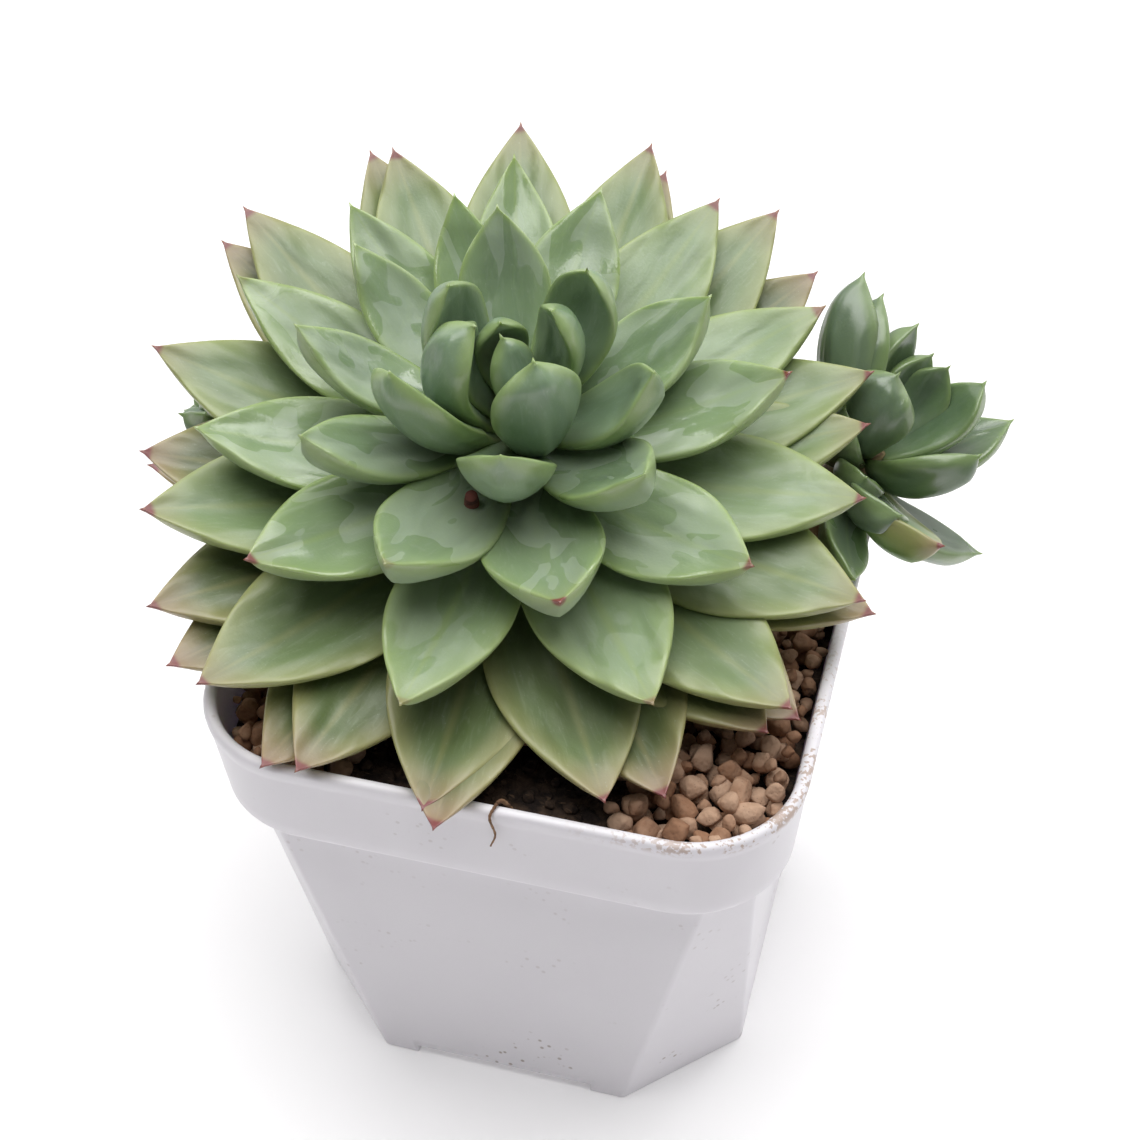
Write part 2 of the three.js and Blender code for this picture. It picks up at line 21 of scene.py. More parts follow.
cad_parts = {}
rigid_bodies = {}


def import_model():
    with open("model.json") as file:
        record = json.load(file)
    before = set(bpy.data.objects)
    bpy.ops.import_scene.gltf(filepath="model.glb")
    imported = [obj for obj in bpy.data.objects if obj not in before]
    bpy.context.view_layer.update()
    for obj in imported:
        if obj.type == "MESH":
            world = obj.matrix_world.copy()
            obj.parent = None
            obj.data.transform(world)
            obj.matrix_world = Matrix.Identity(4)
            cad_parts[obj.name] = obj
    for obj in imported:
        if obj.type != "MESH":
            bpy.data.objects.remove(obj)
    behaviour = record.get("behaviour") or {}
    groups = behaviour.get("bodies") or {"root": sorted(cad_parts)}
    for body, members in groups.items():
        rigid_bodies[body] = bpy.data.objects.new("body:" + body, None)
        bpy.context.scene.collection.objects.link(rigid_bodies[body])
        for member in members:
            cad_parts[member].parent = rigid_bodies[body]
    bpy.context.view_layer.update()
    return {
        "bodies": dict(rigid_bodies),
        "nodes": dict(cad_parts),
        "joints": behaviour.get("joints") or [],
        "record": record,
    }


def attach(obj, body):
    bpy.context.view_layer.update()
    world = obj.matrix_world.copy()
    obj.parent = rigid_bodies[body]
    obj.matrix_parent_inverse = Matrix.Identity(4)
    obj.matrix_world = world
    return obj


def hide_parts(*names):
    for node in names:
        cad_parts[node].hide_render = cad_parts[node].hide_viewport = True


LOG = logging.getLogger("succulent")
MM = 0.001
POT_HEIGHT = 76.0
RIM_HALF = 45.0
POT_WALL = 1.8
GRAVEL_TOP = POT_HEIGHT - 4.0
Points = np.ndarray
Colour = tuple[float, float, float]
Grain = tuple[float, ...]  # x, y, z and radius
Material = bpy.types.Material
Object = bpy.types.Object
Socket = bpy.types.NodeSocket


# ------------------------------------------------------------------ meshes


@dataclass
class Skin:
    """Points and faces of a mesh under construction, with values stored at each point."""

    points: Points
    faces: list[tuple[int, ...]]
    values: dict[str, np.ndarray] = field(default_factory=dict)

    @staticmethod
    def joined(skins: Sequence["Skin"]) -> "Skin":
        """Join skins into one.

        Args:
            skins: The skins, all with the same stored values.

        Returns:
            One skin with all their points and faces.
        """
        faces: list[tuple[int, ...]] = []
        start = 0
        for skin in skins:
            faces.extend(tuple(i + start for i in face) for face in skin.faces)
            start += len(skin.points)
        names = skins[0].values.keys()
        values = {name: np.concatenate([s.values[name] for s in skins]) for name in names}
        return Skin(np.concatenate([s.points for s in skins]), faces, values)

    def to_object(self, name: str, material: Material) -> Object:
        """Make a smooth-shaded object of the skin.

        Args:
            name: The object's name.
            material: Its only material.

        Returns:
            The new object, linked to the scene.
        """
        mesh = bpy.data.meshes.new(name)
        mesh.from_pydata((self.points * MM).tolist(), [], self.faces)
        mesh.shade_smooth()
        for key, data in self.values.items():
            vector = data.ndim == 2
            layer = mesh.attributes.new(key, "FLOAT_VECTOR" if vector else "FLOAT", "POINT")
            layer.data.foreach_set("vector" if vector else "value", data.astype(np.float32).ravel())
        mesh.materials.append(material)
        mesh.update()
        obj = bpy.data.objects.new(name, mesh)
        bpy.context.scene.collection.objects.link(obj)
        return obj


def ring_faces(rings: int, around: int, close_start: bool, pole: bool) -> list[tuple[int, ...]]:
    """Faces that skin a stack of closed rings.

    Args:
        rings: How many rings there are.
        around: Points in each ring.
        close_start: Whether the first ring is capped.
        pole: Whether a single point follows the last ring. Without it the last ring is capped too.

    Returns:
        The faces, wound outwards where each ring runs anticlockwise seen from the last one.
    """
    faces: list[tuple[int, ...]] = []
    for k in range(rings - 1):
        for i in range(around):
            j = (i + 1) % around
            low, high = k * around, (k + 1) * around
            faces.append((low + i, low + j, high + j, high + i))
    if close_start:
        faces.append(tuple(range(around - 1, -1, -1)))
    last = (rings - 1) * around
    if pole:
        faces.extend((last + i, last + (i + 1) % around, rings * around) for i in range(around))
    else:
        faces.append(tuple(range(last, last + around)))
    return faces


TUBE_SIDE = (0.31, 0.95, 0.05)  # crossed with a tube's way to find its side; no tube runs this way


def turned(axis: int, angle: float) -> Points:
    """Matrix that turns columns about X, Y or Z.

    Args:
        axis: 0, 1 or 2.
        angle: In radians.

    Returns:
        The 3 by 3 matrix.
    """
    matrix = np.eye(3)
    i, j = (axis + 1) % 3, (axis + 2) % 3
    matrix[i, i] = matrix[j, j] = math.cos(angle)
    matrix[j, i] = math.sin(angle)
    matrix[i, j] = -math.sin(angle)
    return matrix


def at_height(flat: Points, z: float) -> Points:
    """Rows of x, y lifted to a height."""
    return np.column_stack([flat, np.full(len(flat), z)])


def quarter_turn(k: int) -> Points:
    """Matrix that turns rows of x, y by k quarter turns."""
    a = math.pi / 2 * k
    return np.array([[math.cos(a), math.sin(a)], [-math.sin(a), math.cos(a)]])


def tube(route: Points, radii: Sequence[float], around: int = 12) -> Skin:
    """Closed tube along a route.

    Args:
        route: Points of the centre line.
        radii: Radius at each point.
        around: Points in each ring.

    Returns:
        The tube's skin.
    """
    ahead = np.gradient(route, axis=0)
    ahead /= np.linalg.norm(ahead, axis=1, keepdims=True)
    side = np.cross(np.array(TUBE_SIDE), ahead)
    side /= np.linalg.norm(side, axis=1, keepdims=True)
    up = np.cross(ahead, side)
    turn = np.linspace(0, 2 * math.pi, around, endpoint=False)
    spread = np.asarray(radii)[:, None, None]
    rings = route[:, None] + spread * (
        np.cos(turn)[None, :, None] * side[:, None] + np.sin(turn)[None, :, None] * up[:, None]
    )
    return Skin(rings.reshape(-1, 3), ring_faces(len(route), around, True, False))


def smooth_route(corners: Sequence[Sequence[float]], steps: int) -> Points:
    """Round a route's corners into a smooth curve through them.

    Args:
        corners: The points that the route passes through.
        steps: Points between one corner and the next.

    Returns:
        The points of a Catmull-Rom curve.
    """
    p = np.asarray(corners, float)
    p = np.vstack([2 * p[0] - p[1], p, 2 * p[-1] - p[-2]])
    out = []
    for k in range(1, len(p) - 2):
        a, b, c, d = p[k - 1 : k + 3]
        for u in np.linspace(0, 1, steps, endpoint=False):
            square = (2 * a - 5 * b + 4 * c - d) * u**2
            cube = (3 * b - a - 3 * c + d) * u**3
            out.append(0.5 * (2 * b + (c - a) * u + square + cube))
    out.append(p[-2])
    return np.array(out)


# ------------------------------------------------------------------ materials


class Pattern(Enum):
    """Kinds of procedural pattern that a recipe can call for."""

    CLOUDS = "ShaderNodeTexNoise"
    CELLS = "ShaderNodeTexVoronoi"


class Recipe:
    """A material's node tree, written a step at a time."""

    def __init__(self, name: str) -> None:
        """Start a material with one Principled shader."""
        self.material = bpy.data.materials.new(name)
        self.material.use_nodes = True
        self.nodes = self.material.node_tree.nodes
        self.links = self.material.node_tree.links
        self.shader = self.nodes["Principled BSDF"]

    def add(self, kind: str, inputs: dict[Any, Any] | None = None, **settings: Any) -> bpy.types.Node:
        """Add a node.

        Args:
            kind: The node's type name.
            inputs: Values or output sockets for its inputs, by name or number.
            **settings: Properties of the node.

        Returns:
            The new node.
        """
        node = self.nodes.new(kind)
        for key, value in settings.items():
            setattr(node, key, value)
        for key, value in (inputs or {}).items():
            if isinstance(value, Socket):
                self.links.new(value, node.inputs[key])
            else:
                node.inputs[key].default_value = value
        return node

    def stored(self, name: str, vector: bool = False) -> Socket:
        """Value that a mesh stores at its points under a name."""
        node = self.add("ShaderNodeAttribute", attribute_name=name)
        return node.outputs["Vector" if vector else "Fac"]

    def place(self) -> Socket:
        """Position in the object's own space, in metres."""
        return self.add("ShaderNodeTexCoord").outputs["Object"]

    def scaled(self, place: Socket, by: Sequence[float]) -> Socket:
        """Position stretched by a factor along each axis."""
        return self.add("ShaderNodeMapping", {"Vector": place, "Scale": by}).outputs["Vector"]

    def pattern(
        self, kind: Pattern, place: Socket, scale: float, detail: float = 3.0, warp: float = 0.0
    ) -> Socket:
        """Grey value of a pattern.

        Args:
            kind: Which pattern.
            place: Where it is read.
            scale: Its scale.
            detail: Finer layers, for clouds only.
            warp: How much the clouds are drawn out of shape.

        Returns:
            The pattern's value or distance.
        """
        inputs: dict[str, Any] = {"Vector": place, "Scale": scale}
        if kind is Pattern.CLOUDS:
            inputs.update({"Detail": detail, "Distortion": warp})
            return self.add(kind.value, inputs).outputs["Fac"]
        return self.add(kind.value, inputs).outputs["Distance"]

    def ramp(
        self, value: Socket, low: float, high: float, out: tuple[float, float] = (0, 1)
    ) -> Socket:
        """Value that runs smoothly from one level to another as the input passes from low to high.

        Args:
            value: The input.
            low: Input at which the first level holds. It may be above high.
            high: Input at which the second level holds.
            out: The two levels.

        Returns:
            The value, held at its levels outside the span.
        """
        levels = {"From Min": low, "From Max": high, "To Min": out[0], "To Max": out[1]}
        inputs = {"Value": value, **levels}
        node = self.add("ShaderNodeMapRange", inputs, interpolation_type="SMOOTHSTEP")
        return node.outputs["Result"]

    def maths(self, how: str, a: Any, b: Any) -> Socket:
        """Result of one sum on two values, each a number or a socket."""
        return self.add("ShaderNodeMath", {0: a, 1: b}, operation=how).outputs[0]

    def minus(self, a: Any, b: Any) -> Socket:
        """What is left of a without b."""
        return self.maths("SUBTRACT", a, b)

    def plus(self, a: Any, b: Any) -> Socket:
        """Sum of two values."""
        return self.maths("ADD", a, b)

    def times(self, first: Any, *others: Any) -> Socket:
        """Product of two or more values."""
        for other in others:
            first = self.maths("MULTIPLY", first, other)
        return first

    def swing(self, value: Any, size: float) -> Socket:
        """A pattern's value moved to lie about zero, and scaled."""
        return self.times(self.minus(value, 0.5), size)

    def mixed(self, share: Any, a: Any, b: Any, how: str = "MIX") -> Socket:
        """Colour between a and b.

        Args:
            share: How much of b shows, as a number or a socket.
            a: First colour or socket.
            b: Second colour or socket.
            how: Blend mode.

        Returns:
            The mixed colour.
        """
        node = self.add("ShaderNodeMix", data_type="RGBA", blend_type=how)
        wanted = {0: share, 6: a, 7: b}
        for key, value in wanted.items():
            if isinstance(value, Socket):
                self.links.new(value, node.inputs[key])
            elif key:
                node.inputs[key].default_value = (*value, 1.0)
            else:
                node.inputs[key].default_value = value
        return node.outputs[2]

    def bump(self, height: Socket, depth_mm: float, below: Any = None) -> Socket:
        """Normal of a bumpy surface, over an earlier bump where one is given."""
        inputs = {"Height": height, "Distance": depth_mm * MM, "Strength": 1.0}
        if below is not None:
            inputs["Normal"] = below
        return self.add("ShaderNodeBump", inputs).outputs["Normal"]

    def finish(
        self, colour: Any, roughness: Any, normal: Any = None, settings: dict[str, Any] | None = None
    ) -> Material:
        """Join the results to the shader.

        Args:
            colour: Base colour or its socket.
            roughness: Roughness or its socket.
            normal: Normal socket, if any.
            settings: Constants for the shader's other inputs.

        Returns:
            The finished material.
        """
        joined = {"Base Color": colour, "Roughness": roughness, "Normal": normal}
        for key, value in joined.items():
            if isinstance(value, Socket):
                self.links.new(value, self.shader.inputs[key])
            elif key == "Base Color":
                self.shader.inputs[key].default_value = (*value, 1.0)
            elif value is not None:
                self.shader.inputs[key].default_value = value
        for key, value in (settings or {}).items():
            self.shader.inputs[key].default_value = value
        return self.material


def translucent(weight: float, radius: Colour, depth_mm: float, gloss: float) -> dict[str, Any]:
    """Shader settings of a surface that light sinks into.

    Args:
        weight: Share of the light that does.
        radius: How far each colour goes, as a share of the depth.
        depth_mm: The depth.
        gloss: Strength of the shine on top.

    Returns:
        The settings, by the shader's names.
    """
    return {
        "Subsurface Weight": weight,
        "Subsurface Radius": radius,
        "Subsurface Scale": depth_mm * MM,
        "Specular IOR Level": gloss,
    }


@dataclass(frozen=True)
class LeafFinish:
    """Waxy succulent leaf: bloom and painted sheen, rubbed patches, painted shade, pale margin, red
    point.
    """

    name: str = "leaf_wax"
    young: Colour = (0.195, 0.285, 0.190)
    grown: Colour = (0.260, 0.350, 0.185)
    # old is the duller colour of old leaves, darkened further as painted shade of the lower tiers
    old: Colour = (0.115, 0.135, 0.052)
    # deep is painted shade, mixed into the middle of the top face of young leaves
    deep: Colour = (0.085, 0.145, 0.085)
    green: Colour = (0.140, 0.265, 0.060)
    bloom: Colour = (0.480, 0.560, 0.460)
    margin: Colour = (0.330, 0.440, 0.130)
    old_margin: Colour = (0.390, 0.350, 0.150)
    flush: Colour = (0.340, 0.190, 0.140)
    point: Colour = (0.210, 0.035, 0.045)
    drawn_out: tuple[float, ...] = (0.6, 1.0, 1.0)
    old_from: tuple[float, float] = (0.60, 0.98)
    green_share: float = 0.30
    painted_shade_share: float = 0.35
    rubbed_share: float = 0.22
    film_share: float = 0.13
    # share of the whitening of middle-aged leaves, partly wax bloom and partly painted sheen
    bloom_and_sheen_share: float = 0.36
    margin_reach: float = 5.0
    margin_share: float = 0.50
    rib_share: float = 0.30
    blush_from: float = 0.84
    point_from: float = 0.972
    point_share: float = 0.92
    dust_share: float = 0.22

    def material(self) -> Material:
        """Build the leaf material.

        Returns:
            The material, which reads the values that each leaf stores.
        """
        r = Recipe(self.name)
        place = r.stored("leaf_place", vector=True)
        along, edge, across = (r.stored(f"leaf_{key}") for key in ("along", "edge", "across"))
        age, tone, red = (r.stored(f"leaf_{key}") for key in ("age", "tone", "red"))
        top = r.minus(1.0, r.stored("leaf_under"))
        drawn_out = r.scaled(place, self.drawn_out)
        clouds = r.pattern(Pattern.CLOUDS, drawn_out, 0.13, 2.0)
        wax = r.pattern(Pattern.CLOUDS, drawn_out, 0.15, 1.5, 0.9)
        film = r.pattern(Pattern.CLOUDS, r.scaled(place, (0.3, 1.4, 1.0)), 0.55, 4.0, 2.5)

        # flesh: colour by age, cloudy green, and painted shade on old leaves and in young leaves'
        # middles
        body = r.mixed(r.ramp(age, 0.05, 0.5), self.young, self.grown)
        # old leaves: their own duller colour, darkened further as painted shade of the lower tiers
        body = r.mixed(r.ramp(age, *self.old_from), body, self.old)
        shade = r.plus(r.times(clouds, 0.7), r.times(tone, 0.3))
        body = r.mixed(r.ramp(shade, 0.25, 0.75, (0.0, self.green_share)), body, self.green)
        # painted shade in the middle of the top face of young leaves, away from the margins
        inner = r.times(top, r.ramp(edge, 0.8, 4.5), r.ramp(age, 0.46, 0.28))
        body = r.mixed(r.times(inner, self.painted_shade_share), body, self.deep)

        # wax: worn off in patches on leaves of middle age, a film elsewhere, whitening partly painted
        # sheen
        middle = r.times(r.ramp(age, 0.24, 0.30), r.ramp(age, 0.72, 0.52))
        rubbed = r.times(r.ramp(wax, 0.50, 0.54), r.times(middle, top))
        body = r.mixed(r.times(rubbed, self.rubbed_share), body, self.green)
        body = r.mixed(r.ramp(film, 0.50, 0.75, (0.0, self.film_share)), body, self.bloom)
        # whitening of middle-aged leaves: partly wax bloom, partly painted sheen
        bloom_and_sheen = r.times(r.minus(middle, r.times(rubbed, 0.6)), self.bloom_and_sheen_share)
        body = r.mixed(bloom_and_sheen, body, self.bloom)

        # margins and midrib
        rim = r.mixed(r.ramp(age, 0.5, 1.0), self.margin, self.old_margin)
        wide = r.times(r.ramp(edge, self.margin_reach, 0.3), r.ramp(age, 0.35, 0.9, (0.12, 0.55)))
        body = r.mixed(wide, body, rim)
        body = r.mixed(r.ramp(edge, 1.3, 0.0, (0.0, self.margin_share)), body, rim)
        rib = r.times(r.ramp(across, 0.12, 0.0), r.ramp(age, 0.3, 0.6, (0.0, self.rib_share)))
        body = r.mixed(r.times(rib, top), body, rim)

        # red towards the tip
        near_tip = r.plus(along, r.swing(clouds, 0.06))
        aged = r.ramp(age, 0.55, 1.05, (0.10, 0.65))
        blush = r.times(r.ramp(near_tip, self.blush_from, 1.0), aged, red)
        body = r.mixed(blush, body, self.flush)
        tip = r.times(r.ramp(near_tip, self.point_from, 0.990), r.times(red, self.point_share))
        body = r.mixed(tip, body, self.point)

        # dust, shine and relief
        speck = r.pattern(Pattern.CELLS, place, 1.3)
        dusty = r.times(r.ramp(speck, 0.17, 0.08), r.ramp(film, 0.48, 0.62, (0.0, self.dust_share)))
        body = r.mixed(dusty, body, self.bloom)
        shine = r.minus(r.ramp(age, 0.25, 0.7, (0.31, 0.44)), r.times(rubbed, 0.20))
        fine = r.pattern(Pattern.CLOUDS, place, 2.2, 3.0)
        broad = r.pattern(Pattern.CLOUDS, r.scaled(place, (0.4, 1.0, 1.0)), 0.16, 1.0)
        normal = r.bump(wax, 0.35, r.bump(broad, 2.6, r.bump(fine, 0.03)))
        return r.finish(body, shine, normal, translucent(0.25, (0.9, 1.0, 0.35), 2.2, 0.9))


# darker copy of the leaf finish for the daughter rosettes: painted shade in all its colours
SHADED_LEAF = LeafFinish(
    "leaf_wax_painted_shade",
    young=(0.115, 0.170, 0.105),
    grown=(0.065, 0.110, 0.060),
    old=(0.110, 0.240, 0.020),
    bloom=(0.200, 0.260, 0.190),
    deep=(0.060, 0.100, 0.065),
    margin=(0.260, 0.360, 0.130),
)


@dataclass(frozen=True)
class PotFinish:
    """White moulded plastic, satin, with a little soil on it."""

    name: str = "pot_plastic"
    white: Colour = (0.80, 0.775, 0.815)
    greyed: Colour = (0.68, 0.65, 0.70)
    soil: Colour = (0.23, 0.15, 0.10)
    clay_dust: Colour = (0.42, 0.29, 0.21)
    lip: float = POT_HEIGHT
    soil_share: float = 0.75
    lip_band: tuple[float, float] = (2.2, 0.6)

    def material(self) -> Material:
        """Build the plastic.

        Returns:
            The material: soil specks near the foot, clay dust on the lip's right front corner.
        """
        r = Recipe(self.name)
        place = r.place()
        parts = r.add("ShaderNodeSeparateXYZ", {"Vector": place})
        x, y, z = (parts.outputs[k] for k in range(3))
        cloud = r.pattern(Pattern.CLOUDS, place, 60.0, 4.0)
        body = r.mixed(r.ramp(cloud, 0.45, 0.75, (0.0, 0.10)), self.white, self.greyed)
        specks = r.pattern(Pattern.CELLS, place, 620.0)
        rare = r.pattern(Pattern.CLOUDS, place, 95.0, 1.0)
        spot = r.times(r.ramp(specks, 0.28, 0.12), r.ramp(rare, 0.56, 0.66))
        low = r.ramp(z, 0.030, 0.004, (0.25, 1.0))
        body = r.mixed(r.times(spot, low, self.soil_share), body, self.soil)
        dust = r.pattern(Pattern.CLOUDS, place, 1500.0, 4.0)
        drift = r.pattern(Pattern.CLOUDS, place, 160.0, 2.0)
        corner = r.times(r.ramp(x, 0.010, 0.036), r.ramp(y, 0.010, -0.022))
        lip = r.ramp(z, *((self.lip - below) * MM for below in self.lip_band))
        dusty = r.times(corner, lip, r.ramp(r.plus(dust, r.swing(drift, 0.9)), 0.52, 0.62))
        body = r.mixed(r.times(dusty, self.soil_share), body, self.clay_dust)
        grain = r.pattern(Pattern.CLOUDS, place, 900.0, 2.0)
        sway = r.pattern(Pattern.CLOUDS, place, 28.0, 1.0)
        normal = r.bump(sway, 0.35, r.bump(grain, 0.012))
        rough = r.ramp(cloud, 0.3, 0.7, (0.34, 0.46))
        return r.finish(body, rough, normal, translucent(0.20, (1.0, 0.9, 1.0), 3.0, 0.5))


@dataclass(frozen=True)
class StoneFinish:
    """Tan baked-clay pebbles, each its own shade."""

    name: str = "pebble_clay"
    pale: Colour = (0.54, 0.36, 0.25)
    deep: Colour = (0.31, 0.165, 0.095)
    pit: Colour = (0.16, 0.09, 0.06)

    def material(self) -> Material:
        """Build the pebble material."""
        r = Recipe(self.name)
        place = r.place()
        grain = r.pattern(Pattern.CLOUDS, place, 700.0, 6.0)
        share = r.plus(r.stored("stone_tone"), r.swing(grain, 0.9))
        body = r.mixed(r.ramp(share, 0.0, 1.0), self.pale, self.deep)
        pits = r.pattern(Pattern.CELLS, place, 1500.0)
        body = r.mixed(r.ramp(pits, 0.22, 0.06, (0.0, 0.45)), body, self.pit)
        normal = r.bump(pits, 0.10, r.bump(grain, 0.28))
        return r.finish(body, 0.86, normal, {"Specular IOR Level": 0.3})


@dataclass(frozen=True)
class MixFinish:
    """Dark crumbly potting mix."""

    name: str = "mix_dark"
    dark: Colour = (0.022, 0.016, 0.014)
    brown: Colour = (0.085, 0.055, 0.038)
    straw: Colour = (0.20, 0.13, 0.08)

    def material(self) -> Material:
        """Build the mix."""
        r = Recipe(self.name)
        place = r.place()
        lumps = r.pattern(Pattern.CLOUDS, place, 420.0, 6.0)
        body = r.mixed(r.ramp(lumps, 0.38, 0.68), self.dark, self.brown)
        fibre = r.pattern(Pattern.CLOUDS, r.scaled(place, (1.0, 5.0, 1.0)), 330.0, 3.0, 1.5)
        body = r.mixed(r.ramp(fibre, 0.64, 0.72, (0.0, 0.6)), body, self.straw)
        cells = r.pattern(Pattern.CELLS, place, 780.0)
        normal = r.bump(cells, 0.5, r.bump(lumps, 1.1))
        return r.finish(body, 0.92, normal, {"Specular IOR Level": 0.25})


@dataclass(frozen=True)
class BarkFinish:
    """Corky stem and dry roots."""

    name: str
    light: Colour = (0.36, 0.27, 0.14)
    dark: Colour = (0.13, 0.08, 0.04)

    def material(self) -> Material:
        """Build the bark."""
        r = Recipe(self.name)
        place = r.place()
        rings = r.pattern(Pattern.CLOUDS, r.scaled(place, (1.0, 1.0, 4.0)), 260.0, 5.0)
        body = r.mixed(r.ramp(rings, 0.35, 0.65), self.light, self.dark)
        return r.finish(body, 0.8, r.bump(rings, 0.5))


@dataclass(frozen=True)
class FloorFinish:
    """Plain white studio floor, faintly lit from below."""

    name: str = "floor_white"
    white: Colour = (0.93, 0.92, 0.925)
    glow: float = 0.16

    def material(self) -> Material:
        """Build the floor."""
        lit = {"Emission Color": (1.0, 1.0, 1.0, 1.0), "Emission Strength": self.glow}
        return Recipe(self.name).finish(self.white, 0.6, None, lit)


# ------------------------------------------------------------------ leaves


@dataclass(frozen=True)
class CrownFrame:
    """Where a rosette's axis starts, and how it turns its own frame to the world."""

    foot: tuple[float, float, float]
    turn: Points

    @staticmethod
    def leaning(foot: tuple[float, float, float], front: float, right: float) -> "CrownFrame":
        """Frame of an axis that leans to the front and to the right by angles in degrees."""
        return CrownFrame(foot, turned(0, math.radians(front)) @ turned(1, math.radians(right)))

    @staticmethod
    def pointing(foot: tuple[float, float, float], lean: Sequence[float]) -> "CrownFrame":
        """Frame of an axis along a direction, turned from upright the short way."""
        quaternion = Vector((0, 0, 1)).rotation_difference(Vector(lean).normalized())
        return CrownFrame(foot, np.array(quaternion.to_matrix()))

    def world(self, local: Points) -> Points:
        """Points of the rosette's own frame, in the world."""
        return local @ self.turn.T + np.array(self.foot)


OUTLINE_AGES = (0.1, 0.3, 0.6)
RED_AGES = (0.56, 0.66)  # between these ages a leaf's tip turns red
PATTERN_STEP = 37.0  # mm from one leaf's place in the wax pattern to the next one's
PATTERN_STEPS = 101
YOUNG_AGES = (0.12, 0.40)  # between these ages a leaf loses its round belly


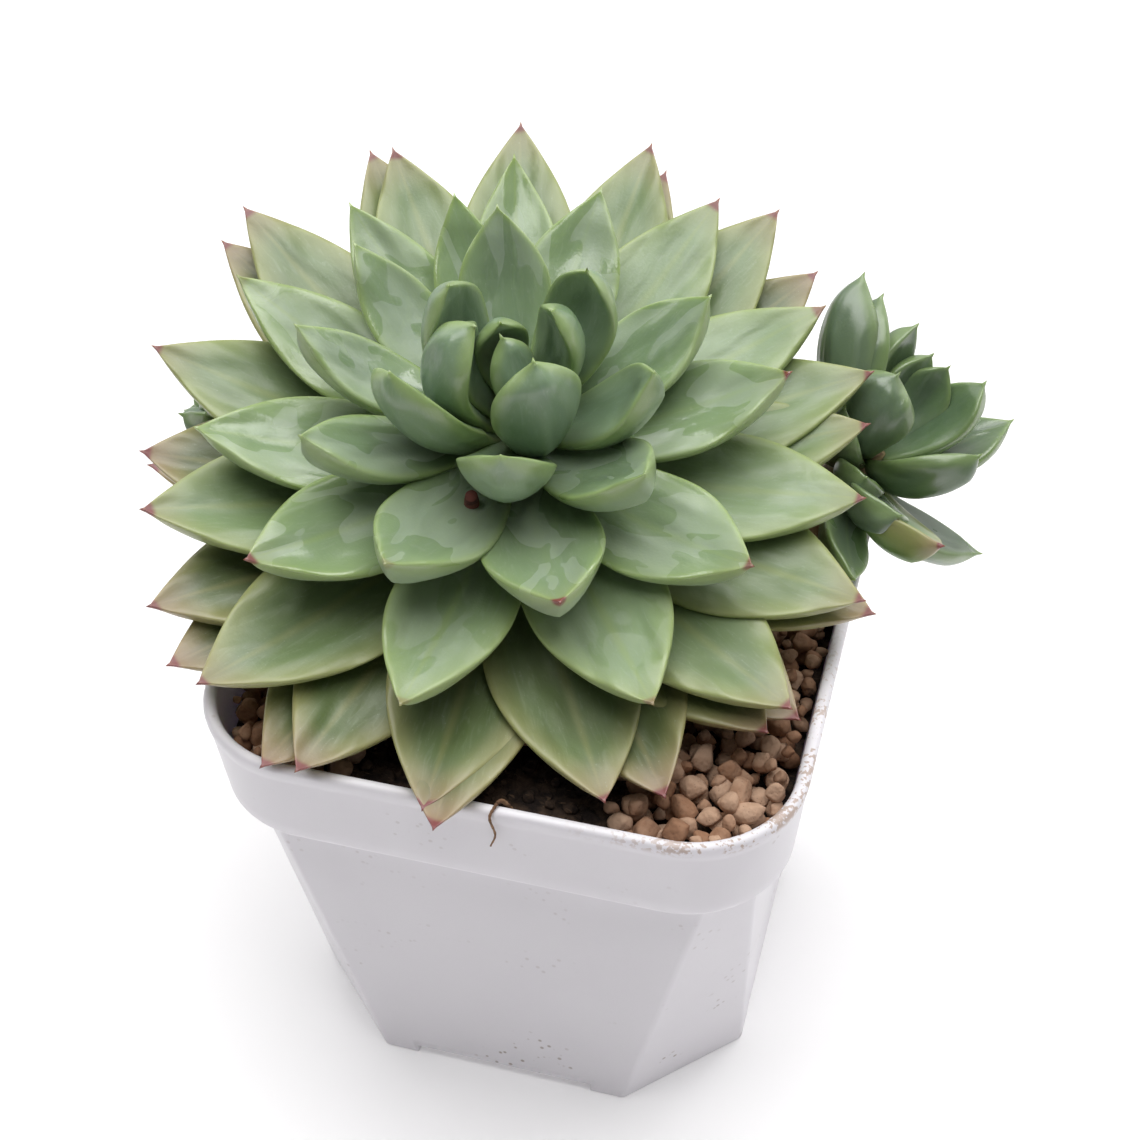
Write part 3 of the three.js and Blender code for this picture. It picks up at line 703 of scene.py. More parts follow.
@dataclass(frozen=True)
class Leaf:
    """One leaf: where its foot and tip are in its crown's frame, and its sizes."""

    foot: tuple[float, float]
    tip: tuple[float, float]
    width: float
    thick: float
    bow: float
    azimuth: float
    frame: CrownFrame
    age: float
    seed: int
    roll: float = 0.0
    curl: float = 0.0
    stations: int = 40
    around: int = 40
    foot_thick: float = 0.5
    spine: float = 0.9
    tip_half: float = 0.28
    tip_deep: float = 0.30
    cup: float = 0.13
    cup_lost_young: float = 0.07
    rim: float = 1.3
    rim_lost_young: float = 0.2
    young_taper: float = 0.45
    keel_share: float = 0.38
    reddened: float = 0.0

    def by_age(self, ages: Sequence[float], values: Sequence[float]) -> float:
        """Value at the leaf's age, between values at given ages."""
        return float(np.interp(self.age, ages, values))

    def outline(self, t: Points) -> Points:
        """Half width at each place along the leaf, as a share of the widest."""
        widest = self.by_age(OUTLINE_AGES, (0.64, 0.58, 0.55))
        power = self.by_age(OUTLINE_AGES, (2.6, 2.1, 1.95))
        foot = self.by_age(OUTLINE_AGES[:2], (0.26, 0.42))
        swell = np.sin(0.5 * math.pi * np.clip(t / widest, 0, 1)) ** 1.2
        rise = foot + (1 - foot) * swell
        s = np.clip((t - widest) / (1 - widest), 0, 1)
        return np.where(t < widest, rise, 1 - s**power)

    def depth(self, t: Points) -> Points:
        """Thickness at each place along the leaf, as a share of the thickest."""
        s = np.where(t < 0.5, t / 0.5, 1 - (t - 0.5) / 0.62)
        full = self.foot_thick + (1 - self.foot_thick) * np.sin(0.5 * math.pi * np.clip(s, 0, 1))
        return full * np.sqrt(np.clip(self.outline(t) * 1.6, 0, 1))

    def midline(self, t: Points) -> tuple[Points, Points]:
        """Centre line and its direction.

        Args:
            t: Places along the leaf, 0 to 1.

        Returns:
            Points and unit directions, each as out and along the crown's axis.
        """
        start, end = np.array(self.foot), np.array(self.tip)
        chord = end - start
        middle = (start + end) / 2 + np.array([chord[1], -chord[0]]) * 2 * self.bow
        u = t[:, None]
        at = (1 - u) ** 2 * start + 2 * u * (1 - u) * middle + u**2 * end
        way = 2 * (1 - u) * (middle - start) + 2 * u * (end - middle)
        return at, way / np.linalg.norm(way, axis=1, keepdims=True)

    def section(self, t: Points, s: Points, above: Points, dish: float) -> tuple[Points, Points]:
        """Cross-sections of the leaf before it is rolled.

        Args:
            t: Places along the leaf.
            s: Places round a section, from 1 at one margin to -1 at the other.
            above: Which of those are on the upper face.
            dish: Factor on the depth of this leaf's cup.

        Returns:
            Half width at each t, and height over the midline at each t and s.
        """
        tip_round = np.clip((t - 0.9) / 0.1, 0, 1)
        youth = self.by_age(YOUNG_AGES, (1.0, 0.0))
        half = self.width / 2 * self.outline(t) + self.tip_half * tip_round
        deep = self.thick * self.depth(t)
        closing = tip_round**3
        deep = deep * (1 - self.young_taper * youth * t**2) * (1 - closing)
        deep = deep + self.tip_deep * closing
        soft = np.sqrt(np.clip(1 - np.abs(s) ** 8, 0, 1))
        keel = (1 - self.keel_share) * (1 - s**2) ** 0.72
        keel = keel + self.keel_share * (1 - np.abs(s)) ** 1.05
        belly = keel * (1 - youth) + (1 - s**2) ** 0.8 * youth
        cup = (self.cup - self.cup_lost_young * youth) * dish
        rim = (self.rim - self.rim_lost_young * youth) * np.clip(half / (0.25 * self.width), 0.3, 1)
        lift = cup * half[:, None] * np.abs(s)[None, :] ** 1.6
        edge = 0.5 * rim[:, None] * soft[None, :]
        under = lift * np.abs(s)[None, :] - deep[:, None] * belly[None, :] - edge
        return half, np.where(above[None, :], lift + edge, under)

    def skin(self) -> Skin:
        """Build the leaf's surface.

        Returns:
            A closed skin in world millimetres, with the values that the leaf finish reads.
        """
        rng = np.random.default_rng(self.seed)
        sway, twist, dish = rng.uniform(-1, 1), rng.uniform(-1, 1), rng.uniform(0.7, 1.3)
        tone = rng.uniform(0, 1)
        t = 1 - (1 - np.linspace(0, 1, self.stations)) ** 1.5
        theta = np.linspace(0, 2 * math.pi, self.around, endpoint=False)
        s, above = np.cos(theta), np.sin(theta) >= 0
        half, high = self.section(t, s, above, dish)
        side = half[:, None] * s[None, :]
        roll = np.radians(self.roll) * np.minimum(t / 0.25, 1) + np.radians(5.0 * twist) * t
        roll = roll[:, None]
        high = high + self.curl * np.clip((t - 0.6) / 0.4, 0, 1)[:, None] ** 2
        side, high = (
            side * np.cos(roll) - high * np.sin(roll),
            side * np.sin(roll) + high * np.cos(roll),
        )
        bend = 0.035 * self.width * sway * np.sin(math.pi * t)
        at, way = self.midline(t)
        up = np.stack([-way[:, 1], way[:, 0]], axis=1)
        out, rise = (at[:, k : k + 1] + up[:, k : k + 1] * high for k in range(2))
        local = np.stack([out, side + bend[:, None], rise], axis=2).reshape(-1, 3)
        end = at[-1] + way[-1] * self.spine + up[-1] * (0.1 + self.curl)
        local = np.vstack([local, [end[0], 0.0, end[1]]])
        points = self.frame.world(local @ turned(2, math.radians(self.azimuth)).T)
        values = self.stored(t, s, half, high) | {
            "leaf_under": np.append(np.tile(np.where(above, 0.0, 1.0), self.stations), 0.0),
            "leaf_tone": np.full(len(points), tone),
        }
        return Skin(points, ring_faces(self.stations, self.around, True, True), values)

    def stored(self, t: Points, s: Points, half: Points, high: Points) -> dict[str, np.ndarray]:
        """Values that the leaf finish reads, one for each point of the skin.

        Args:
            t: Places along the leaf.
            s: Places round a section.
            half: Half width at each t.
            high: Height over the midline at each t and s, rolled.

        Returns:
            The values by name. A leaf's seed moves its place in the wax pattern.
        """
        length = np.linalg.norm(np.array(self.tip) - np.array(self.foot))
        t_all = np.append(np.repeat(t, self.around), 1.02)
        s_all = np.append(np.tile(s, self.stations), 0.0)
        half_all = np.append(np.repeat(half, self.around), 0.0)
        high_all = np.append(high.ravel(), 0.0)
        apart = PATTERN_STEP * (self.seed % PATTERN_STEPS)
        red = max(self.reddened, self.by_age(RED_AGES, (0, 1)))
        return {
            "leaf_place": np.stack([t_all * length, s_all * half_all, high_all + apart], axis=1),
            "leaf_along": t_all,
            "leaf_across": np.abs(s_all),
            "leaf_edge": half_all * (1 - np.abs(s_all)),
            "leaf_age": np.full(len(t_all), self.age),
            "leaf_red": np.full(len(t_all), red),
        }


HEART_AGE = 0.25  # younger leaves are still grown together at their feet


@dataclass
class MainRosette:
    """The large rosette: a law of growth, and where each leaf stands."""

    foot: tuple[float, float, float] = (-10.0, 13.0, POT_HEIGHT + 4.0)
    lean_front: float = 18.0
    lean_right: float = 7.0
    lip: float = POT_HEIGHT
    rest_gap: float = 2.5
    clearance: float = 0.3
    heart_foot: float = 2.5
    stub_azimuth: float = 262.0
    stub_out: float = 15.5
    stub_span: tuple[float, ...] = (25.0, 26.5, 28.2)
    stub_radius: float = 0.95
    stem_radius: tuple[float, float] = (7.0, 2.6)
    stem_top: float = 31.0
    age: tuple[float, ...] = (0.00, 0.10, 0.20, 0.36, 0.56, 0.76, 0.95, 1.10, 1.40)
    reach: tuple[float, ...] = (3.5, 8.0, 19.0, 33.0, 47.0, 57.0, 59.0, 59.0, 50.0)
    rise: tuple[float, ...] = (43.0, 50.0, 46.0, 37.0, 29.0, 23.0, 16.0, 10.0, -14.0)
    seat: tuple[float, ...] = (29.0, 25.0, 24.0, 23.0, 19.0, 13.0, 7.5, 4.0, -2.0)
    width: tuple[float, ...] = (7.0, 14.5, 15.5, 17.5, 20.0, 22.0, 22.5, 22.0, 20.0)
    thick: tuple[float, ...] = (2.6, 4.6, 5.0, 5.4, 5.2, 5.0, 4.6, 4.4, 4.0)
    bow: tuple[float, ...] = (0.06, 0.10, 0.09, 0.08, 0.07, 0.05, 0.04, 0.02, -0.05)
    heart: tuple[tuple[float, ...], ...] = (
        (130, 0.02), (325, 0.01, -6.5), (182, 0.06, 0, 0.80), (45, 0.08, 0, 0.78, 0, 1),
        (158, 0.12, 1, 0.90), (203, 0.11, 0, 0.80, 15, 4), (308, 0.10, -1, 0.93),
        (62, 0.19, 0, 0.82, 0, 3), (0, 0.21, 0, 0.76), (215, 0.18, 1, 1.00, 32),
        (280, 0.20, 0, 0.90),
    )  # fmt: skip
    single: tuple[tuple[float, ...], ...] = (
        (110, 0.30, 0, 0.84), (40, 0.34, 0, 0.82), (120, 0.38, 0, 0.68), (150, 0.36, 0, 0.66),
        (180, 0.35, 0, 0.62), (215, 0.34, 0, 0.68), (255, 0.38, 0, 0.95, 0, 0, 0.3),
        (295, 0.40, 0, 1, 0, 0, 1), (328, 0.28, 0, 0.90), (85, 0.44, 0, 0.85),
        (20, 0.46, 0, 0.86, 0, 0, 1), (335, 0.50, 0, 0.95, 0, 0, 0.9), (105, 0.56, 0, 0.75),
        (140, 0.51, 0, 0.76), (165, 0.58, 0, 0.76), (200, 0.54, 0, 0.86),
        (230, 0.53, 0, 0.92, 0, 0, 1), (267, 0.60, 0, 0.90), (307, 0.62), (38, 0.64, 0, 0.85),
        (67, 0.66, 0, 0.90), (0, 0.66, 0, 0.95), (25, 0.71, 0, 0.90), (60, 0.78, 2, 0.90),
        (83, 0.76, 2, 0.90), (104, 0.76, 2, 0.92), (125, 0.76, 0, 0.90), (150, 0.80, 3, 0.88),
        (180, 0.74, 0, 0.90), (210, 0.72), (238, 0.80, 2), (255, 0.92, 1), (273, 0.88, 1),
        (297, 0.84, 1), (325, 0.76, 2), (345, 0.76), (50, 0.92, 0, 0.85), (80, 0.88, 0, 0.85),
        (128, 0.82, 2, 0.85), (155, 0.90, 2, 0.85), (195, 0.92, -3), (222, 0.90), (230, 0.98, 1),
        (250, 1.06, 2), (275, 1.04, 3), (305, 1.00, 1), (322, 0.89), (328, 1.08), (347, 0.92),
        (16, 0.75, -4, 0.80),
    )  # fmt: skip
    oldest: tuple[tuple[float, ...], ...] = (
        (100, 1.15), (145, 1.20), (60, 1.24), (80, 1.32), (112, 1.38), (138, 1.33), (190, 1.16),
    )  # fmt: skip

    def frame(self) -> CrownFrame:
        """Frame of the rosette's axis."""
        return CrownFrame.leaning(self.foot, self.lean_front, self.lean_right)

    def stem_at(self, along: float) -> float:
        """Radius of the stem at a distance along the axis."""
        return float(np.interp(along, (0, self.stem_top), self.stem_radius))

    def leaf(self, spec: Sequence[float], seed: int, foot_out: float | None = None) -> Leaf:
        """Leaf with the sizes that its age gives.

        Args:
            spec: Azimuth in degrees from +X in the crown's frame, and age, 0 for the newest leaf
                and 1 for the oldest in sight. Then, where they aren't 0, 1, 0, 0 and 0: reach added
                to what the law gives, share of the law's width, roll in degrees, how far the tip
                curls inwards, and how red a young leaf's tip is.
            seed: Seed of its small irregularities.
            foot_out: How far from the axis it starts, where that isn't the stem's surface.

        Returns:
            The leaf.
        """
        azimuth, age, extra, share, roll, curl, red = (*spec, *(0, 1, 0, 0, 0)[len(spec) - 2 :])
        laws = (self.seat, self.reach, self.rise, self.width, self.thick, self.bow)
        seat, reach, rise, width, thick, bow = (float(np.interp(age, self.age, law)) for law in laws)
        reach += extra
        frame = self.frame()
        start = self.heart_foot if age < HEART_AGE else self.stem_at(seat) + self.clearance
        turn = math.radians(azimuth)
        end = frame.world(np.array([[reach * math.cos(turn), reach * math.sin(turn), rise]]))[0]
        dip = self.lip + self.rest_gap - end[2]
        if dip > 0:
            rise += dip / math.cos(math.radians(self.lean_front))
        return Leaf(
            foot=(start if foot_out is None else foot_out, seat),
            tip=(reach, rise),
            width=width * share,
            thick=thick,
            bow=bow,
            azimuth=azimuth,
            frame=frame,
            age=age,
            seed=seed,
            roll=roll,
            curl=curl,
            reddened=red,
        )

    def build(self, wax: Material) -> list[Object]:
        """Make every leaf of the rosette.

        Args:
            wax: The leaf material.

        Returns:
            The heart and the single leaves, each standing for its CAD node, and the oldest leaves.
        """
        made = []
        skins = [self.leaf(spec, 11 + k).skin() for k, spec in enumerate(self.heart)]
        heart = Skin.joined(skins).to_object("heart_leaves", wax)
        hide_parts("heart")
        made.append(heart)
        order = sorted(self.single, key=lambda spec: spec[1])
        for k, spec in enumerate(order):
            obj = self.leaf(spec, 101 + k).skin().to_object(f"leaf_blade_{k + 1:02d}", wax)
            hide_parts(f"leaf_{k + 1:02d}")
            made.append(obj)
        sunk = self.stem_radius[0] * 0.6
        skins = [self.leaf(spec, 301 + k, sunk).skin() for k, spec in enumerate(self.oldest)]
        made.append(Skin.joined(skins).to_object("oldest_leaves", wax))
        for obj in made:
            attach(obj, "root")
        LOG.info("main rosette: %d pieces", len(made))
        return made

    def flower_stub(self, dry: Material) -> Object:
        """Make the dry stub of an old flower stalk, between two of the inner leaves.

        Args:
            dry: Its material.

        Returns:
            The stub.
        """
        turn = math.radians(self.stub_azimuth)
        x, y = self.stub_out * np.array([math.cos(turn), math.sin(turn)])
        rows = [(x, y, h) for h in self.stub_span]
        route = smooth_route(self.frame().world(np.array(rows)), 5)
        radii = self.stub_radius * (1 + 0.18 * np.sin(np.linspace(0.4, 3.6, len(route))))
        obj = tube(route, radii, 16).to_object("flower_stub", dry)
        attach(obj, "root")
        LOG.info("flower stub")
        return obj


@dataclass
class Stem:
    """The stem of the main rosette and its buried roots."""

    rosette: MainRosette
    gravel_top: float = GRAVEL_TOP
    buried: float = 14.0
    roots: int = 5
    root_radius: float = 1.6
    root_reach: float = 22.0
    root_drop: float = 30.0

    def build(self, bark: Material) -> Object:
        """Make the stem, standing for its CAD node.

        Args:
            bark: The stem's material.

        Returns:
            The stem.
        """
        frame = self.rosette.frame()
        heights = np.linspace(-4, self.rosette.stem_top, 8)
        axis = [frame.world(np.array([[0.0, 0.0, h]]))[0] for h in heights]
        root = np.array([axis[0][0], axis[0][1], self.gravel_top - self.buried])
        route = smooth_route([root, *axis], 4)
        share = np.linspace(0, 1, len(route))
        radii = np.interp(share, (0, 0.3, 1), (5.6, *self.rosette.stem_radius))
        radii = radii * (1 + 0.05 * np.sin(share * 90))
        skins = [tube(route, radii, 20)]
        for k in range(self.roots):
            turn = math.radians(360 * k / self.roots + 20)
            out = np.array([math.cos(turn), math.sin(turn), 0])
            corners = [
                root
                + out * self.root_reach * math.sin(1.3 * s)
                + np.array([0, 0, 2 - self.root_drop * s * s])
                for s in (0, 0.35, 0.7, 1)
            ]
            line = smooth_route(corners, 5)
            skins.append(tube(line, np.linspace(self.root_radius, 0.35, len(line)), 8))
        obj = Skin.joined(skins).to_object("stem_and_roots", bark)
        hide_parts("main_stem")
        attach(obj, "root")
        LOG.info("stem and roots")
        return obj


@dataclass
class DaughterRosette:
    """A small rosette on its own stalk, its leaves grown together at their feet."""

    node: str
    route: tuple[tuple[float, float, float], ...]
    lean: tuple[float, float, float]
    stalk_radius: float
    thick: float
    shape: tuple[tuple[float, ...], ...]
    seed: int = 500
    foot_span: float = 6
    bow: float = 0.08

    def leaves(self) -> list[Leaf]:
        """Leaves from rows of azimuth, lift, length, width, age and, where it isn't 0, roll."""
        frame = CrownFrame.pointing(self.route[-1], self.lean)
        out = []
        for k, (azimuth, lift, length, width, age, *roll) in enumerate(self.shape):
            rise = math.radians(lift)
            foot = (self.stalk_radius * 0.4, self.foot_span * lift / 90)
            tip = (length * math.cos(rise), length * math.sin(rise))
            sizes = (width, self.thick, self.bow)
            leaf = Leaf(foot, tip, *sizes, azimuth, frame, age, self.seed + k, sum(roll))
            out.append(replace(leaf, stations=30, around=28))
        return out

    def build(self, wax: Material, bark: Material) -> list[Object]:
        """Make the leaves and the stalk.

        Args:
            wax: The leaf material.
            bark: The stalk's material.

        Returns:
            The two pieces.
        """
        skin = Skin.joined([leaf.skin() for leaf in self.leaves()])
        leaves = skin.to_object(f"{self.node}_leaves", wax)
        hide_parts(self.node)
        lean = np.array(self.lean) / np.linalg.norm(self.lean)
        route = smooth_route([*self.route, np.array(self.route[-1]) + self.foot_span * lean], 6)
        share = np.linspace(0, 1, len(route))
        radii = np.interp(share, (0, 0.8, 1), (1, 1, 0.5)) * self.stalk_radius
        stalk = tube(route, radii, 14).to_object(f"{self.node}_stalk", bark)
        for obj in (leaves, stalk):
            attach(obj, "root")
        LOG.info("%s: %d faces", self.node, len(leaves.data.polygons))
        return [leaves, stalk]


RIGHT_DAUGHTER = DaughterRosette(
    node="offset_right",
    route=((28, 27, 62), (31, 28, 74), (37, 31, 80.5), (41, 30, 84)),
    lean=(42, 22, 58),
    stalk_radius=3.0,
    thick=4.2,
    shape=(
        (151, 54, 28, 13, 0.20, 50), (154, 48, 31, 14, 0.40, 60), (137, 66, 25, 8, 0.25),
        (115, 73, 22, 8, 0.20), (86, 77, 22, 9, 0.20), (33, 73, 24.5, 11, 0.25),
        (34, 48, 27, 12, 0.50), (-41, 53, 22, 12, 0.25), (-144, 65, 20, 12, 0.10, 30),
        (-94, 22, 12, 9, 0.30), (-71, 16, 18, 11, 0.30), (-54, 15, 23, 13, 0.90),
        (12, 3, 26, 11, 0.40), (-74, -14, 23, 9, 0.50), (60, 20, 22, 11, 0.5),
        (100, 25, 22, 11, 0.5), (10, 60, 12, 9, 0.10), (-150, 40, 14, 10, 0.3),
        (180, 25, 20, 11, 0.5),
    ),
)  # fmt: skip

LEFT_DAUGHTER = DaughterRosette(
    node="offset_left",
    route=((-32, 21, 62), (-36, 21, 72), (-41, 20, 80), (-48, 19, 83), (-57, 17, 87)),
    lean=(-40, -6, 45),
    stalk_radius=2.4,
    thick=3.2,
    shape=(
        (20, 22, 12, 9, 0.45), (92, 22, 12, 9, 0.45), (164, 22, 13, 9, 0.45),
        (236, 22, 12, 9, 0.45), (308, 22, 12, 9, 0.45), (50, 52, 10, 8, 0.3),
        (140, 52, 10, 8, 0.3), (230, 52, 10, 8, 0.3), (320, 52, 10, 8, 0.3), (10, 78, 7, 6, 0.15),
        (190, 78, 7, 6, 0.15),
    ),
    seed=700,
)  # fmt: skip


# ------------------------------------------------------------------ pot and filling


@dataclass
class Pot:
    """Square nursery pot with cut corners, a collar and a rounded lip."""

    height: float = POT_HEIGHT
    rim_half: float = RIM_HALF
    rim_corner: float = 17.0
    collar_half: float = 43.5
    collar_corner: float = 16.0
    collar_height: float = 16.5
    body_top_half: float = 39.5
    body_top_cut: float = 6.0
    foot_half: float = 37.0
    foot_cut: float = 16.5
    wall: float = POT_WALL
    floor: float = 3.0
    notch_width: float = 30.0
    notch_height: float = 2.2
    notch_reach: float = 12.0
    corner_points: int = 17
    side_points: int = 8

    def ring(self, corner: Points) -> Points:
        """Closed ring from the points of its first corner, turned to all four.

        Args:
            corner: Points of the corner towards +X +Y, anticlockwise.

        Returns:
            The ring, with straight sides divided evenly.
        """
        out = []
        for k in range(4):
            here = corner @ quarter_turn(k)
            following = corner[0] @ quarter_turn(k + 1)
            share = np.linspace(0, 1, self.side_points + 2)[1:-1, None]
            out.extend(here)
            out.extend(here[-1] * (1 - share) + following * share)
        return np.array(out)

    def round_corner(self, half: float, radius: float) -> Points:
        """Points of a rounded corner."""
        a = np.linspace(0, math.pi / 2, self.corner_points)
        return half - radius + radius * np.stack([np.cos(a), np.sin(a)], axis=1)

    def cut_corner(self, half: float, cut: float, soft: float = 1.6) -> Points:
        """Points of a corner cut straight at 45 degrees, its two edges softened."""
        n = self.corner_points // 3
        reach = soft * math.tan(math.pi / 8)
        a = np.linspace(0, math.pi / 4, n + 1)
        centre = np.array([half - soft, half - cut - reach])
        first = centre + soft * np.stack([np.cos(a), np.sin(a)], axis=1)
        last = first[::-1, ::-1]
        between = self.corner_points - 2 * (n + 1)
        share = np.linspace(0, 1, between + 2)[1:-1, None]
        return np.vstack([first, first[-1] * (1 - share) + last[0] * share, last])

    def body_ring(self, z: float, inset: float) -> Points:
        """Ring of the body at a height, drawn in by an inset."""
        share = z / (self.height - self.collar_height)
        half = np.interp(share, (0, 1), (self.foot_half, self.body_top_half)) - inset
        cut = np.interp(share, (0, 1), (self.foot_cut, self.body_top_cut))
        return at_height(self.ring(self.cut_corner(half, cut)), z)

    def collar_ring(self, z: float, inset: float) -> Points:
        """Ring of the collar at a height, drawn in by an inset."""
        bottom = self.height - self.collar_height
        share = (z - bottom) / self.collar_height
        half = np.interp(share, (0, 1), (self.collar_half, self.rim_half)) - inset
        corner = np.interp(share, (0, 1), (self.collar_corner, self.rim_corner)) - inset
        return at_height(self.ring(self.round_corner(half, corner)), z)

    def rings(self) -> list[Points]:
        """All rings from the underside, up the outside, over the lip and down inside to the floor."""
        bottom = self.height - self.collar_height
        out = [self.body_ring(0, 0.5), self.body_ring(0.15, 0.15), self.body_ring(0.5, 0)]
        out += [self.body_ring(z, 0) for z in np.linspace(4, bottom - 1.2, 12)]
        out += [self.body_ring(bottom - 0.5, -0.15), self.body_ring(bottom - 0.15, -0.6)]
        out += [self.collar_ring(bottom, 2.6), self.collar_ring(bottom, 0.7)]
        out += [self.collar_ring(bottom + 0.2, 0.2), self.collar_ring(bottom + 0.7, 0)]
        out += [self.collar_ring(z, 0) for z in np.linspace(bottom + 3, self.height - 3.2, 5)]
        out += [self.collar_ring(self.height - 2.6, 0), self.collar_ring(self.height - 2.2, -0.15)]
        for a in np.linspace(0, math.pi, 9):
            radius = self.wall / 2 + 0.1
            z = self.height - radius + radius * math.sin(a)
            out.append(self.collar_ring(z, radius - radius * math.cos(a) - 0.2))
        inside = np.linspace(self.height - 3, bottom + self.wall, 5)
        out += [self.collar_ring(z, self.wall) for z in inside]
        out += [self.body_ring(bottom - 1, self.wall), self.body_ring(self.floor, self.wall)]
        return out

    def build(self, plastic: Material) -> Object:
        """Make the pot, standing for its CAD node.

        Args:
            plastic: The pot's material.

        Returns:
            The pot.
        """
        rings = self.rings()
        around = len(rings[0])
        skin = Skin(np.concatenate(rings), ring_faces(len(rings), around, True, False))
        pot = skin.to_object("nursery_pot", plastic)
        for k in range(4):
            self.cut_notch(pot, k)
        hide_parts("pot")
        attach(pot, "root")
        LOG.info("pot: %d faces", len(pot.data.polygons))
        return pot

    def cut_notch(self, pot: Object, side: int) -> None:
        """Cut the drain notch at the foot of one side.

        Args:
            pot: The pot.
            side: 0 for the front, then the other three in turn.
        """
        low = np.array([-self.notch_width / 2, -self.foot_half - 1, -1.0])
        inner = -self.foot_half + self.notch_reach
        high = np.array([self.notch_width / 2, inner, self.notch_height])
        corners = [(low[0], low[1]), (high[0], low[1]), (high[0], high[1]), (low[0], high[1])]
        flat = np.array(corners) @ quarter_turn(side)
        points = np.vstack([at_height(flat, z) for z in (low[2], high[2])])
        block = Skin(points, ring_faces(2, 4, True, False))
        cutter = block.to_object("notch_cutter", pot.data.materials[0])
        cut = pot.modifiers.new("notch", "BOOLEAN")
        cut.operation = "DIFFERENCE"
        cut.solver = "EXACT"
        cut.object = cutter
        seen = pot.evaluated_get(bpy.context.evaluated_depsgraph_get())
        done = bpy.data.meshes.new_from_object(seen)
        pot.modifiers.clear()
        pot.data = done
        bpy.data.objects.remove(cutter)


@dataclass
class PebbleShape:
    """A worn angular pebble: a lopsided ball with its sides planed off."""

    seed: int
    cuts: int = 14

    def points(self, ball: Points) -> Points:
        """Shape a unit ball's points.

        Args:
            ball: Points of a unit ball.

        Returns:
            The pebble's points, about one unit in radius.
        """
        rng = np.random.default_rng(self.seed)
        p = ball * np.array([rng.uniform(1.0, 1.45), rng.uniform(0.8, 1.05), rng.uniform(0.65, 0.9)])
        for _ in range(self.cuts):
            way = rng.normal(size=3)
            way /= np.linalg.norm(way)
            level = rng.uniform(0.55, 0.82)
            over = np.clip(p @ way - level, 0, None)
            p = p - 0.88 * over[:, None] * way
        lumps = np.sin(p @ rng.uniform(-3, 3, (3, 3)) + rng.uniform(0, 6, 3)).sum(axis=1)
        return p * (1 + 0.035 * lumps[:, None])


def unit_ball(level: int) -> tuple[Points, list[tuple[int, ...]]]:
    """Points and faces of an even ball of radius 1."""
    mesh = bpy.data.meshes.new("ball")
    bm = bmesh.new()
    bmesh.ops.create_icosphere(bm, subdivisions=level, radius=1.0)
    bm.to_mesh(mesh)
    bm.free()
    points = np.array([v.co[:] for v in mesh.vertices])
    faces = [tuple(f.vertices) for f in mesh.polygons]
    bpy.data.meshes.remove(mesh)
    return points, faces


@dataclass
class Scatter:
    """Loose grains dropped side by side over an area."""

    seed: int
    smallest: float
    largest: float
    level: float
    spread: float
    tries: int
    close: float = 0.86

    def place(self, allowed: Callable[[float, float, float], bool], half: float) -> list[Grain]:
        """Find a place for each grain.

        Args:
            allowed: Whether a grain of some radius may lie at x, y.
            half: Half the side of the square to try.

        Returns:
            x, y, z and radius of each grain.
        """
        rng = np.random.default_rng(self.seed)
        sizes = self.smallest + (self.largest - self.smallest) * rng.random(self.tries) ** 2.2
        sizes = np.sort(sizes)[::-1]
        kept = np.zeros((0, 4))
        for r in sizes:
            x, y = rng.uniform(-half, half, 2)
            z = self.level + rng.uniform(-0.5, 0.5) * self.spread - 0.35 * (r - self.smallest)
            if not allowed(x, y, r):
                continue
            gap = np.hypot(kept[:, 0] - x, kept[:, 1] - y) - self.close * (kept[:, 3] + r)
            if len(gap) and gap.min() < 0:
                continue
            kept = np.vstack([kept, [x, y, z, r]])
        return [tuple(row) for row in kept]


def grains(places: Iterable[Grain], seed: int, kinds: int = 24, level: int = 3) -> Skin:
    """Skin of many pebbles.

    Args:
        places: x, y, z and radius of each.
        seed: Seed of their shapes and turns.
        kinds: How many different shapes.
        level: Fineness of each pebble.

    Returns:
        One skin, with each pebble's shade stored.
    """
    ball, faces = unit_ball(level)
    shapes = [PebbleShape(seed + k).points(ball) for k in range(kinds)]
    rng = np.random.default_rng(seed)
    base = np.array(faces)
    points, all_faces, tones = [], [], []
    for n, (x, y, z, r) in enumerate(places):
        axis = rng.normal(size=3)
        spin = np.array(Matrix.Rotation(rng.uniform(0, 6.28), 3, Vector(axis).normalized()))
        points.append((shapes[rng.integers(kinds)] @ spin.T) * r + np.array([x, y, z]))
        all_faces.append(base + n * len(ball))
        tones.append(np.full(len(ball), rng.uniform(0, 1)))
    merged = [tuple(face) for face in np.concatenate(all_faces).tolist()]
    return Skin(np.concatenate(points), merged, {"stone_tone": np.concatenate(tones)})


